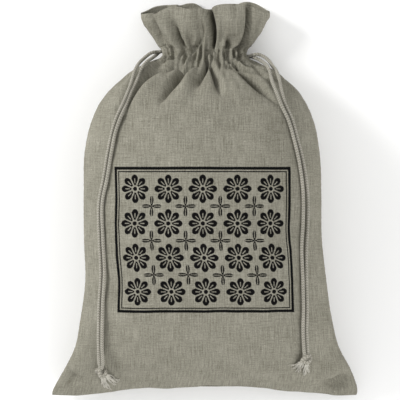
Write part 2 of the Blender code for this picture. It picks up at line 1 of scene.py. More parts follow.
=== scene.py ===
"""Looks of a filled linen bread bag with two drawstrings, lying on its back with its front up.

Metres, +Z up, mouth towards +Y. The cloth follows the bag's solids, with its folds deeper, on a
finer grid and with the small creases added. A block print of rosettes and leaves stands in the
middle of the front.
"""
from __future__ import annotations

import logging
import math
from dataclasses import dataclass
from enum import Enum, IntEnum
from typing import Iterator, Sequence

import bmesh
import bpy
import numpy as np
from mathutils import Matrix, Vector
from mathutils.bvhtree import BVHTree

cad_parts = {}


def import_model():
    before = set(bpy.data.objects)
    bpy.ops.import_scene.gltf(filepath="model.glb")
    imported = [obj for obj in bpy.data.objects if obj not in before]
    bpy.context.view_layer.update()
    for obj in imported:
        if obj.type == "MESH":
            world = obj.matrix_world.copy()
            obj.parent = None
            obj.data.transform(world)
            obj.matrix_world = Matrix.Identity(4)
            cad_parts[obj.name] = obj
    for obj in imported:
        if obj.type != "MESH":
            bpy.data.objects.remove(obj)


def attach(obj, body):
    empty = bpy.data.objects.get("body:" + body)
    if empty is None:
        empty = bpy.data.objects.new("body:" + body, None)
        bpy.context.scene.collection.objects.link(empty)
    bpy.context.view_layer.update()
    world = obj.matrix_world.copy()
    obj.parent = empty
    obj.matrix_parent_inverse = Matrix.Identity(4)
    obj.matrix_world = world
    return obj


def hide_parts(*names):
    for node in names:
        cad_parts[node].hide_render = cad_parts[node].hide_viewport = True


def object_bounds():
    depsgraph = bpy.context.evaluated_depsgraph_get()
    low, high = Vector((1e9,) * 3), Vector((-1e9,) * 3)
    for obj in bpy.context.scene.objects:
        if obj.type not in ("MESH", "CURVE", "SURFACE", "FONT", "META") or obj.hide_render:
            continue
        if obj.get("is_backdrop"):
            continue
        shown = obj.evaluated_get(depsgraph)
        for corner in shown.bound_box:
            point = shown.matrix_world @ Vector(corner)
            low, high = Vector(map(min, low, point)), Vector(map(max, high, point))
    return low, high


log = logging.getLogger("bread_bag")
MM = 0.001
TURN = 2 * math.pi
UP = Vector((0, 0, 1))
UV_NAME = "threads"
NOISE_BULK = (0.3, 0.7)     # nearly all of a noise's values lie in this range
CURVE_SAMPLES = 1500        # points read along a smooth curve before they are spaced

# Cloth
CLOTH = 0.7 * MM            # thickness of one layer
OUTER_FACE = 1.2 * MM       # how far the outer face stands off the surface that the tables give
SEAM_GAP = 0.3 * MM         # parting between the panels along the side and bottom seams
HEM_GAP = 0.35 * MM         # parting between the two layers of the hem
BOTTOM_BOW = 9.5 * MM       # rise of the middle of the bottom seam
BOTTOM_BOW_REACH = 45 * MM  # how far up the panel the bow fades out
BOTTOM_HALF = 146 * MM      # half of the bottom seam, towards whose ends the corners sag
BOW_HALF = 125 * MM         # half of the stretch over which the bottom seam bows
CORNER_DROOP = 9 * MM       # how far the bottom corners sag
MOUTH_REACH = 26 * MM       # how far below the mouth its uneven edge pulls the cloth along
MOUTH_PULL_MOST = 1.3       # the most of that pull, past the mouth's own height
MOUTH_TURN = (0.62, 0.9, 1.0, 0.9, 0.62)  # heights of the rows round the mouth's turned edge
MOUTH_ANGLES = (0.83, 0.17)  # where that turn starts and ends, as shares of half a circle
MOUTH_STEP = 0.1 * MM       # how far the inner face of the turn stands above the last row
SECTION_SAMPLES = 601       # points read round a cross-section before they are spaced
MOST_LIFT = 0.9             # the most of a section's rise that its edge may stand off the seams
FOLD_RIM = 0.45             # how high a fold's two edges stand, against the fold itself
FOLD_FADE_IN = 3.5          # how fast a fold reaches its full height from its first point
FOLD_FADE_OUT = 2.2         # how fast it fades towards its last point
FOLD_SAMPLES = 41           # points read along a fold's line
FOLD_MARGIN = 3             # half-widths that a fold reaches to each side
FOLD_STEEPNESS = 10         # how fast folds, pleats and dents rise from the side seams
PLEAT_STEEPNESS = 8
DENT_STEEPNESS = 6

# Drawstring channel, between two rows of stitching
CHANNEL_Y = 142.0 * MM      # middle of the channel
CHANNEL_HALF = 6 * MM       # half of the channel's height
CHANNEL_DEPTH = 9.0 * MM    # room between the two layers
CORD_DEPTH = 6.6 * MM       # how deep the cords run under the outer layer
CHANNEL_PUFF = 0.8 * MM     # how far the outer layer swells over the cords
CHANNEL_SLOPE = 4 * MM      # how far the cloth takes to open out into the channel
CHANNEL_SLOPE_IN = 0.25     # share of that stretch that lies inside the channel
CHANNEL_PINCH = 4.4 * MM    # how deep a crease may go where the channel is open
SIDE_OPENING = 5.6 * MM     # half of the opening in each side seam
HEM_END = 8.5 * MM          # how far the hem reaches below the channel's middle
STITCH_ROWS = (CHANNEL_Y + 6.6 * MM, CHANNEL_Y - 6.6 * MM)
STITCH_REACH = 0.97         # share of the way to the side seams that the stitching runs
STITCH_SAMPLES = 900        # points read along a row before they are spaced
STITCH_SINK = 0.05 * MM     # how far a stitch's middle stands off the cloth

# Drawstrings
CORD = 3.5 * MM             # diameter
CORD_GAP = 0.5 * MM         # parting between a cord and what it lies on
PATH_STEP = 1.05 * MM       # spacing of the points where a cord's height over the cloth is found
LANE = 2.25 * MM            # each cord runs this far from the channel's middle
CHANNEL_START = 0.86        # a cord's run starts at this share of the way to the side seam
STRAIGHT_START = 1.5 * MM   # a free strand starts straight for this long
BALL_RINGS = (0.0, 0.5, 0.8, 0.97)  # shares of a ball's radius where the cloth under it is felt
BALL_TURNS = 12             # places felt on each ring
OFF_PATH = (0.3, 0.1, 1.0)  # a direction that no cord starts along
MERGE = 1e-6                # points of a tube closer than this are one
FIXED_START = 12            # steps of a free strand's path that keep their given heights
ENVELOPE = 5                # steps over which a free strand's height is evened out

# Cross-sections from the bottom seam to the mouth, in millimetres: height of the row, reach of the
# outline to the left and right, height of the seams, rise of the front and depth of the back from
# the seams, squareness of the front and of the back (2 is an ellipse), and height of the pleats.
SECTION_COLUMNS = ("y", "left", "right", "seam", "front", "back", "front_square", "back_square", "pleat")
SECTION_ROWS = (
    (-191.0, 149.2, 148.6, 20.0, 0.0, 0.0, 1.7, 1.7, 0.0),
    (-187.0, 147.5, 148.7, 22.0, 10.0, 9.0, 1.7, 1.7, 0.0),
    (-180.0, 143.7, 147.0, 25.0, 20.0, 17.0, 1.8, 1.8, 0.0),
    (-165.4, 135.3, 141.1, 32.0, 34.0, 30.5, 1.9, 2.0, 0.0),
    (-146.0, 125.6, 130.5, 40.5, 46.0, 41.5, 2.0, 2.3, 0.0),
    (-117.0, 119.5, 122.7, 49.0, 57.0, 50.5, 2.0, 2.5, 0.0),
    (-78.0, 114.5, 116.9, 54.0, 65.5, 56.0, 2.1, 2.6, 0.0),
    (-39.0, 115.7, 112.6, 55.5, 69.0, 57.5, 2.1, 2.6, 0.0),
    (9.0, 115.9, 112.0, 55.5, 70.0, 57.5, 2.1, 2.6, 0.0),
    (48.0, 114.7, 110.1, 54.0, 67.5, 56.0, 2.1, 2.6, 0.0),
    (77.0, 108.0, 104.3, 50.5, 61.0, 52.0, 2.1, 2.5, 0.0),
    (96.5, 98.5, 95.5, 45.0, 52.0, 44.5, 2.1, 2.3, 0.2),
    (106.2, 90.7, 88.8, 41.0, 45.5, 38.5, 2.1, 2.2, 0.6),
    (116.0, 80.0, 78.1, 36.0, 37.5, 31.0, 2.1, 2.1, 1.0),
    (125.6, 67.0, 66.6, 31.0, 29.0, 24.0, 2.0, 2.0, 1.4),
    (132.0, 52.6, 52.6, 27.0, 22.0, 19.5, 2.0, 2.0, 1.7),
    (136.8, 44.4, 44.4, 25.0, 18.2, 17.4, 2.0, 2.0, 1.8),
    (147.0, 43.2, 43.2, 22.5, 17.0, 17.0, 2.0, 2.0, 1.8),
    (155.7, 47.4, 48.6, 22.0, 18.5, 18.0, 2.0, 2.0, 1.2),
    (164.4, 53.4, 54.8, 22.5, 21.0, 19.5, 2.1, 2.1, 0.4),
    (173.1, 58.5, 58.7, 23.0, 22.5, 20.5, 2.2, 2.2, 0.1),
    (181.9, 60.8, 62.6, 23.5, 23.0, 21.0, 2.2, 2.2, 0.0),
    (192.0, 60.2, 61.0, 23.5, 23.0, 21.0, 2.2, 2.2, 0.0),
)

# Folds, in millimetres: three points along each, its rise (a groove is negative), its half-width,
# its strength at the first and last point, how far its bottom slips under the edge on its left, as
# seen along it, and how many times as wide it is at its last point.
FOLD_COLUMNS = ("x1", "y1", "x2", "y2", "x3", "y3", "rise", "width", "first", "last", "slip", "widen")
FRONT_FOLD_ROWS = (
    (0.8, 190.0, 8.0, 163.0, 4.9, 143.0, -13.0, 4.1, 1.0, 0.5, 3.8, 0.65),
    (43.8, 190.0, 41.5, 162.0, 32.5, 145.0, -8.8, 3.3, 1.0, 0.5, -3.8, 0.8),
    (21.8, 160.0, 22.8, 147.0, 23.6, 134.0, -5.0, 2.5, 0.0, 0.6, -0.8, 0.8),
    (-33.5, 178.0, -26.5, 157.0, -18.0, 143.0, -5.5, 5.6, 0.3, 0.6, 1.6, 0.5),
    (-5.0, 158.0, -8.6, 148.5, -18.0, 141.0, -5.0, 2.4, 0.1, 0.6, 1.6, 1.0),
    (-14.0, 190.0, -13.0, 172.0, -12.0, 156.0, 3.5, 9.0, 1.0, 0.0, 0.0, 1.0),
    (22.0, 190.0, 24.0, 176.0, 26.0, 160.0, 3.0, 9.0, 1.0, 0.0, 0.0, 1.0),
    (-53.8, 182.0, -46.8, 167.0, -38.3, 150.8, -3.2, 2.3, 0.8, 0.5, 2.2, 1.0),
    (-17.0, 129.8, -57.0, 117.0, -81.0, 81.0, -8.6, 3.0, 0.8, 0.15, 3.6, 1.8),
    (-7.3, 132.4, -29.0, 115.5, -45.0, 89.0, -8.0, 2.9, 0.8, 0.1, 3.0, 1.9),
    (2.1, 133.4, -1.4, 123.0, -9.0, 106.0, -6.4, 2.4, 0.7, 0.0, 1.6, 1.7),
    (6.8, 131.4, 11.2, 117.9, 17.0, 96.0, -6.6, 2.9, 0.6, 0.0, -1.6, 2.0),
    (22.6, 131.0, 43.6, 115.4, 69.0, 91.0, -9.0, 3.0, 0.8, 0.15, 3.6, 1.8),
    (28.8, 132.0, 43.2, 124.0, 64.0, 118.6, -7.6, 2.3, 0.9, 0.0, 2.8, 1.5),
    (34.4, 139.0, 40.3, 131.4, 60.0, 126.8, -5.4, 2.1, 0.8, 0.0, -1.8, 1.3),
    (-40.0, 129.0, -51.0, 122.0, -63.0, 111.0, -4.6, 4.4, 0.3, 0.0, 0.0, 1.2),
    (41.0, 137.5, 50.0, 133.0, 60.0, 129.5, -4.0, 3.0, 0.3, 0.0, 0.0, 1.2),
    (-31.0, 121.0, -54.0, 108.5, -72.0, 84.0, 3.4, 5.4, 0.2, 0.0, 0.0, 1.4),
    (-40.0, 131.0, -67.4, 116.0, -86.0, 92.0, 2.6, 5.6, 0.1, 0.0, 0.0, 1.4),
    (-14.0, 121.0, -20.0, 108.0, -28.0, 88.0, 3.2, 5.4, 0.3, 0.0, 0.0, 1.6),
    (4.2, 121.0, 3.5, 108.0, 2.0, 90.0, 2.6, 4.6, 0.3, 0.0, 0.0, 1.5),
    (20.0, 122.0, 28.0, 106.0, 40.0, 88.0, 3.2, 5.6, 0.3, 0.0, 0.0, 1.6),
    (27.6, 127.0, 43.2, 120.6, 66.0, 106.2, 3.2, 2.8, 0.4, 0.0, 0.0, 1.8),
    (68.0, 122.0, 93.0, 73.0, 103.0, 0.0, 1.8, 7.0, 0.0, 0.0, 0.0, 1.0),
    (-74.0, 103.0, -86.0, 84.0, -98.0, 62.0, 2.0, 7.0, 0.0, 0.0, 0.0, 1.0),
    (-140.0, -166.0, -130.0, -174.0, -116.0, -183.0, -8.5, 7.2, 0.4, 0.1, 0.0, 1.0),
    (142.0, -170.0, 131.0, -179.0, 112.0, -184.0, -8.5, 7.4, 0.4, 0.1, 0.0, 1.0),
    (136.0, -177.0, 121.0, -181.0, 104.0, -182.0, -5.0, 4.6, 0.4, 0.1, 0.0, 1.0),
)
BACK_FOLD_ROWS = (
    (-30.0, 190.0, -26.0, 168.0, -20.0, 148.0, -6.5, 4.6, 1.0, 0.4, 2.0, 0.8),
    (12.0, 190.0, 10.0, 168.0, 7.0, 148.0, -7.5, 4.4, 1.0, 0.4, -2.0, 0.8),
    (40.0, 190.0, 36.0, 168.0, 28.0, 150.0, -5.5, 4.4, 1.0, 0.4, 1.0, 0.8),
    (-20.0, 134.0, -42.0, 117.0, -64.0, 90.0, -5.2, 3.4, 0.8, 0.0, 0.0, 2.2),
    (-9.0, 134.0, -20.0, 116.0, -30.0, 94.0, -4.4, 3.4, 0.8, 0.0, 0.0, 2.2),
    (3.0, 133.0, 1.0, 116.0, -4.0, 96.0, -4.6, 3.2, 0.8, 0.0, 0.0, 2.2),
    (14.0, 134.0, 22.0, 116.0, 32.0, 94.0, -4.4, 3.4, 0.8, 0.0, 0.0, 2.2),
    (24.0, 134.0, 44.0, 117.0, 64.0, 92.0, -5.2, 3.4, 0.8, 0.0, 0.0, 2.2),
)

# Creases too fine for the solids, in the same columns: those of the channel come first, then those
# that sharpen the bottoms of the folds, then the shallow ones of the ruffle and the body.
FRONT_CREASE_ROWS = (
    (-38.3, 147.0, -36.6, 139.0, -39.0, 131.0, -2.6, 1.26, 0.6, 0.0, 0.0, 1.2),
    (-32.6, 149.0, -30.6, 140.5, -33.5, 130.0, -3.8, 1.34, 0.5, 0.0, 0.0, 1.2),
    (-26.4, 156.0, -20.4, 146.5, -28.0, 129.0, -4.2, 1.43, 0.0, 0.2, 0.6, 1.2),
    (-16.5, 144.0, -18.9, 135.6, -27.0, 128.0, -4.4, 1.6, 0.7, 0.0, 0.8, 1.2),
    (-8.5, 149.0, -8.6, 139.0, -16.3, 124.0, -4.4, 1.51, 0.4, 0.0, 0.4, 1.4),
    (-2.4, 178.0, -1.0, 158.0, -4.4, 144.0, -2.4, 1.34, 0.0, 0.6, 0.0, 1.0),
    (-3.6, 146.0, -4.5, 138.0, -8.0, 129.0, -3.4, 1.26, 0.7, 0.0, 0.0, 1.2),
    (1.6, 145.0, 1.6, 136.0, 1.0, 125.0, -4.4, 1.43, 0.8, 0.0, 0.0, 1.3),
    (7.0, 150.0, 7.0, 138.0, 6.2, 124.0, -3.9, 1.34, 0.5, 0.0, 0.0, 1.3),
    (7.4, 150.0, 9.9, 145.0, 14.0, 142.0, -3.2, 1.26, 0.2, 0.0, 0.0, 1.0),
    (15.0, 148.0, 14.2, 135.0, 15.7, 121.0, -4.2, 1.43, 0.5, 0.0, 0.0, 1.3),
    (18.6, 143.0, 19.6, 134.0, 22.0, 125.0, -3.2, 1.18, 0.5, 0.0, 0.0, 1.2),
    (27.4, 146.0, 28.0, 138.5, 28.5, 131.0, -3.4, 1.26, 0.7, 0.0, 0.0, 1.2),
    (32.2, 148.0, 32.2, 138.0, 30.8, 124.0, -4.2, 1.43, 0.7, 0.0, 0.0, 1.2),
    (33.5, 146.0, 36.4, 135.6, 48.0, 128.6, -4.2, 1.6, 0.6, 0.0, -0.6, 1.2),
    (39.2, 147.0, 39.0, 140.0, 40.4, 133.0, -2.4, 1.26, 0.5, 0.0, 0.0, 1.0),
    (-13.2, 151.0, -12.6, 143.0, -13.2, 137.0, -2.8, 1.18, 0.1, 0.0, 0.0, 1.0),
    (-34.0, 141.0, -29.0, 133.6, -36.0, 127.0, -3.0, 1.51, 0.2, 0.0, 0.0, 1.2),
    (-46.0, 149.6, -40.5, 149.0, -34.5, 150.4, -2.6, 1.34, 0.8, 0.0, 0.0, 1.0),
    (44.5, 146.0, 39.5, 145.2, 34.5, 146.2, -2.6, 1.34, 0.8, 0.0, 0.0, 1.0),
    (1.2, 188.0, 7.6, 163.0, 4.9, 144.0, -6.0, 1.9, 1.0, 0.5, 1.6, 0.9),
    (43.4, 188.0, 41.3, 162.0, 33.0, 145.5, -5.6, 1.7, 1.0, 0.5, -1.6, 0.9),
    (-29.4, 168.0, -25.6, 156.0, -19.0, 144.0, -3.6, 1.8, 0.0, 0.6, 0.8, 0.8),
    (23.0, 156.0, 23.2, 148.0, 23.4, 138.0, -3.4, 1.5, 0.0, 0.6, -0.4, 1.0),
    (-20.0, 128.9, -57.0, 117.0, -80.0, 82.4, -8.0, 1.5, 0.9, 0.3, 2.6, 1.3),
    (-9.0, 131.0, -29.0, 115.5, -44.0, 90.6, -6.0, 1.5, 0.9, 0.0, 2.0, 1.5),
    (1.8, 132.0, -1.4, 123.0, -8.0, 108.0, -5.0, 1.4, 0.8, 0.0, 1.0, 1.5),
    (7.4, 130.0, 11.2, 117.9, 16.0, 99.0, -5.0, 1.4, 0.8, 0.0, -1.0, 1.5),
    (24.4, 129.4, 43.6, 115.4, 67.0, 92.8, -7.4, 1.5, 0.9, 0.2, 2.4, 1.4),
    (30.0, 131.2, 43.2, 124.0, 62.0, 119.0, -6.0, 1.4, 0.9, 0.0, 1.8, 1.4),
    (35.2, 138.0, 40.3, 131.4, 58.0, 127.2, -4.6, 1.3, 0.8, 0.0, -1.2, 1.3),
    (-16.0, 126.0, -24.0, 113.0, -31.0, 98.0, -1.6, 2.4, 0.2, 0.0, 0.0, 1.8),
    (18.0, 124.0, 24.0, 110.0, 30.0, 92.0, -1.8, 2.6, 0.2, 0.0, 0.0, 1.8),
    (48.0, 127.0, 64.0, 112.0, 78.0, 90.0, -1.8, 3.2, 0.0, 0.0, 0.0, 1.6),
    (-21.0, 180.0, -20.0, 166.0, -17.0, 156.0, 0.8, 3.0, 0.2, 0.0, 0.0, 1.0),
    (14.0, 180.0, 14.0, 164.0, 13.0, 152.0, 1.4, 3.4, 0.2, 0.0, 0.0, 1.0),
    (33.0, 184.0, 32.0, 168.0, 29.5, 154.0, 1.4, 2.8, 0.4, 0.0, 0.0, 1.0),
    (53.0, 180.0, 50.0, 165.0, 43.0, 150.0, -2.2, 3.0, 0.2, 0.4, 0.0, 0.8),
    (-96.0, -150.0, -88.0, -164.0, -72.0, -176.0, -1.2, 6.0, 0.0, 0.0, 0.0, 1.0),
    (104.0, -140.0, 98.0, -160.0, 84.0, -176.0, -1.2, 6.0, 0.0, 0.0, 0.0, 1.0),
    (-126.0, -150.0, -122.0, -166.0, -128.0, -180.0, 1.4, 6.0, 0.0, 0.0, 0.0, 1.0),
    (128.0, -148.0, 122.0, -166.0, 127.0, -182.0, 1.4, 6.0, 0.0, 0.0, 0.0, 1.0),
    (-40.0, -140.0, -34.0, -160.0, -30.0, -178.0, -1.0, 7.0, 0.0, 0.0, 0.0, 1.0),
    (38.0, -138.0, 36.0, -160.0, 30.0, -178.0, -1.0, 7.0, 0.0, 0.0, 0.0, 1.0),
)
BACK_CREASE_ROWS = (
    (-37.5, 148.0, -37.0, 140.0, -41.0, 128.0, -2.6, 1.6, 0.6, 0.0, 0.0, 1.2),
    (-29.0, 149.0, -30.0, 138.0, -36.0, 127.0, -4.0, 1.7, 0.6, 0.0, 0.0, 1.2),
    (-21.0, 151.0, -22.0, 138.0, -26.0, 124.0, -4.2, 1.7, 0.6, 0.0, 0.0, 1.2),
    (-13.0, 148.0, -13.5, 138.0, -17.0, 124.0, -4.0, 1.7, 0.6, 0.0, 0.0, 1.2),
    (-5.0, 151.0, -5.0, 138.0, -7.0, 122.0, -4.4, 1.7, 0.6, 0.0, 0.0, 1.2),
    (4.0, 149.0, 4.2, 138.0, 4.0, 122.0, -4.0, 1.7, 0.6, 0.0, 0.0, 1.2),
    (12.0, 151.0, 12.6, 138.0, 14.0, 124.0, -4.2, 1.7, 0.6, 0.0, 0.0, 1.2),
    (21.0, 148.0, 21.0, 138.0, 25.0, 124.0, -4.0, 1.7, 0.6, 0.0, 0.0, 1.2),
    (29.0, 150.0, 30.0, 138.0, 36.0, 126.0, -4.0, 1.7, 0.6, 0.0, 0.0, 1.2),
    (37.5, 148.0, 37.0, 140.0, 42.0, 128.0, -2.6, 1.6, 0.6, 0.0, 0.0, 1.2),
)

# Mouth edge, in millimetres: place across the mouth and height of each panel's edge.
MOUTH_COLUMNS = ("x", "front", "back")
MOUTH_ROWS = (
    (-62.0, 180.0, 181.5),
    (-54.0, 180.6, 185.4),
    (-50.0, 179.6, 187.4),
    (-42.0, 183.4, 189.2),
    (-31.0, 186.6, 189.6),
    (-24.0, 186.3, 189.4),
    (-16.0, 184.4, 191.2),
    (-9.0, 185.2, 191.0),
    (-3.5, 185.4, 188.0),
    (1.5, 183.4, 184.6),
    (11.0, 187.6, 185.5),
    (26.0, 189.0, 187.0),
    (37.0, 188.8, 192.0),
    (43.0, 188.2, 192.4),
    (50.0, 185.6, 190.6),
    (62.0, 182.0, 183.5),
)

# Rows of each panel's fine grid, in millimetres: from, to, number of rows.
BANDS = (
    (-191.0, -180.0, 9),
    (-180.0, 77.0, 82),
    (77.0, 128.0, 56),
    (128.0, 156.0, 38),
    (156.0, 186.0, 22),
)
PANEL_COLUMNS = 186

# Unevenness of the pleats across a panel: size, number of waves and start of each wave.
PLEAT_SWAYS = (
    (0.045, 7.3, 0.6),
    (0.020, 17.0, 0.0),
)

# Soft dents and wrinkles all over the filled cloth: height and length of the waves in
# millimetres, and their directions and starts in radians.
DENT_COLUMNS = ("height", "length", "direction", "start")
DENT_ROWS = (
    (0.55, 96.0, 0.4, 0.3),
    (0.50, 71.0, 1.9, 1.7),
    (0.40, 53.0, 2.8, 4.1),
    (0.30, 41.0, 1.1, 2.2),
    (0.16, 27.0, 0.2, 5.0),
    (0.14, 23.0, 2.4, 0.9),
    (0.10, 15.0, 1.6, 3.3),
    (0.08, 11.0, 0.7, 1.2),
)

# Routes of the free strands over the front, in millimetres from the side opening to the knot: x, y
# and, where the strand stands clear of the cloth, its height above the side seam.
LEFT_OUTER_ROUTE = (
    (-43.6, 144.3, 2.4), (-51.0, 143.3, 3.6), (-59.5, 137.0, 7.5), (-67.2, 125.8, 17.5),
    (-71.8, 110.1, None), (-78.0, 94.0, None), (-84.6, 79.1, None), (-88.8, 65.5, None),
    (-92.4, 48.0, None), (-97.0, 20.3, None), (-101.0, -0.5, None), (-100.9, -39.3, None),
    (-99.6, -70.3, None), (-101.4, -100.0, None), (-102.2, -126.6, None), (-102.4, -146.0, None),
    (-102.0, -158.0, None),
)
LEFT_INNER_ROUTE = (
    (-43.6, 144.3, -2.4), (-48.4, 139.9, -1.2), (-56.2, 133.6, 7.0), (-62.2, 124.6, 23.5),
    (-66.3, 113.0, None), (-71.2, 102.0, None), (-75.0, 92.0, None), (-81.2, 77.6, None),
    (-85.4, 65.5, None), (-89.0, 48.0, None), (-93.6, 20.3, None), (-97.9, -0.5, None),
    (-97.5, -39.3, None), (-96.1, -70.3, None), (-97.9, -100.0, None), (-98.7, -126.6, None),
    (-98.9, -146.0, None), (-98.4, -158.0, None),
)
RIGHT_OUTER_ROUTE = (
    (43.8, 139.9, 2.4), (52.0, 141.6, 3.6), (59.2, 138.4, 5.5), (66.4, 129.5, 11.0),
    (71.6, 119.6, 22.5), (74.2, 104.3, None), (77.4, 93.0, None), (84.2, 77.1, None),
    (89.3, 58.2, None), (93.9, 40.3, None), (99.0, 5.0, None), (99.3, -19.9, None),
    (97.7, -48.0, None), (97.8, -73.2, None), (98.7, -105.0, None), (98.3, -126.6, None),
    (99.6, -147.0, None),
)
RIGHT_INNER_ROUTE = (
    (43.8, 139.9, -2.4), (50.5, 137.6, -1.0), (58.4, 132.6, 8.5), (63.0, 124.8, 24.0),
    (66.0, 112.0, None), (69.6, 102.5, None), (73.4, 92.0, None), (80.6, 76.0, None),
    (85.8, 58.2, None), (90.0, 40.3, None), (94.6, 5.0, None), (94.6, -19.9, None),
    (93.2, -48.0, None), (94.2, -73.2, None), (95.1, -105.0, None), (94.8, -126.6, None),
    (96.0, -147.0, None),
)
Route = Sequence[tuple[float, float, "float | None"]]

# Middle of each knot, and where the first and last yarn of its two frayed ends point, in millimetres.
LEFT_KNOT = (-99.9, -167.4)
LEFT_FRAYS = (((-99.5, -182.5), (-91.5, -185.0)), ((-82.5, -175.0), (-87.5, -182.0)))
RIGHT_KNOT = (98.2, -153.6)
RIGHT_FRAYS = (((81.5, -161.5), (93.0, -169.5)), ((95.5, -171.0), (102.0, -168.5)))
FrayTips = tuple[tuple[float, float], tuple[float, float]]


class Side(IntEnum):
    """The two panels of the bag."""

    FRONT = 1
    BACK = -1


class Way(IntEnum):
    """The two side openings that the drawstrings leave by."""

    LEFT = -1
    RIGHT = 1


class Slot(Enum):
    """The material slots of the bag's record."""

    LINEN = "linen"
    COTTON = "cotton_cord"


@dataclass(frozen=True)
class Table:
    """A short table of sizes in millimetres, with named columns.

    Args:
        columns: the columns' names, of which the first rises from row to row.
        rows: the rows, in the columns' order.
    """

    columns: tuple[str, ...]
    rows: tuple[tuple[float, ...], ...]

    def column(self, name: str) -> np.ndarray:
        """Give one column in metres."""
        place = self.columns.index(name)
        return np.array([row[place] for row in self.rows]) * MM

    def named_rows(self) -> Iterator[dict[str, float]]:
        """Give each row as values by name, in millimetres."""
        for row in self.rows:
            yield dict(zip(self.columns, row))

    def smooth(self, name: str, at: np.ndarray) -> np.ndarray:
        """Read a column along a smooth curve through its values.

        Args:
            name: the column to read.
            at: where to read it, as values of the first column in metres.

        Returns:
            The column's values in metres, in the shape of at.
        """
        known = self.column(self.columns[0])
        values = self.column(name)
        return hermite(known, values, np.clip(at, known[0], known[-1]))


def hermite(known: np.ndarray, values: np.ndarray, at: np.ndarray) -> np.ndarray:
    """Read a smooth curve through known values.

    Args:
        known: rising places of the values.
        values: one value, or one row of values, for each place.
        at: the places to read.

    Returns:
        The values at those places.
    """
    slopes = np.gradient(values, known, axis=0)
    low = np.clip(np.searchsorted(known, at, side="right") - 1, 0, len(known) - 2)
    span = known[low + 1] - known[low]
    t = (at - known[low]) / span
    if values.ndim > 1:
        t, span = t[:, None], span[:, None]
    return ((2 * t**3 - 3 * t**2 + 1) * values[low] + (t**3 - 2 * t**2 + t) * span * slopes[low]
            + (3 * t**2 - 2 * t**3) * values[low + 1] + (t**3 - t**2) * span * slopes[low + 1])


def bell(distance: np.ndarray, width: float) -> np.ndarray:
    """Give 1 at distance 0, falling smoothly to 0 at a few widths."""
    return np.exp(-(distance / width) ** 2)


def off_seams(places: np.ndarray, steepness: float) -> np.ndarray:
    """Give 0 at the side seams, rising to 1 over a share of 1 / steepness of the half-width."""
    return np.clip((1 - np.abs(places)) * steepness, 0, 1)


def unit(vectors: np.ndarray) -> np.ndarray:
    """Scale vectors to length 1."""
    return vectors / np.maximum(np.linalg.norm(vectors, axis=-1, keepdims=True), 1e-12)


def spaced(points: np.ndarray, step: float) -> np.ndarray:
    """Give points about one step apart along a line through the given points."""
    run = np.concatenate([[0], np.cumsum(np.linalg.norm(np.diff(points, axis=0), axis=1))])
    wanted = np.linspace(0, run[-1], max(2, round(run[-1] / step) + 1))
    return np.stack([np.interp(wanted, run, points[:, axis]) for axis in range(3)], axis=1)


def smooth_line(points: np.ndarray, step: float) -> np.ndarray:
    """Give points about one step apart along a smooth curve through the given points."""
    knots = np.concatenate([[0], np.cumsum(np.linalg.norm(np.diff(points, axis=0), axis=1))])
    fine = np.linspace(0, knots[-1], CURVE_SAMPLES)
    return spaced(hermite(knots, np.asarray(points), fine), step)


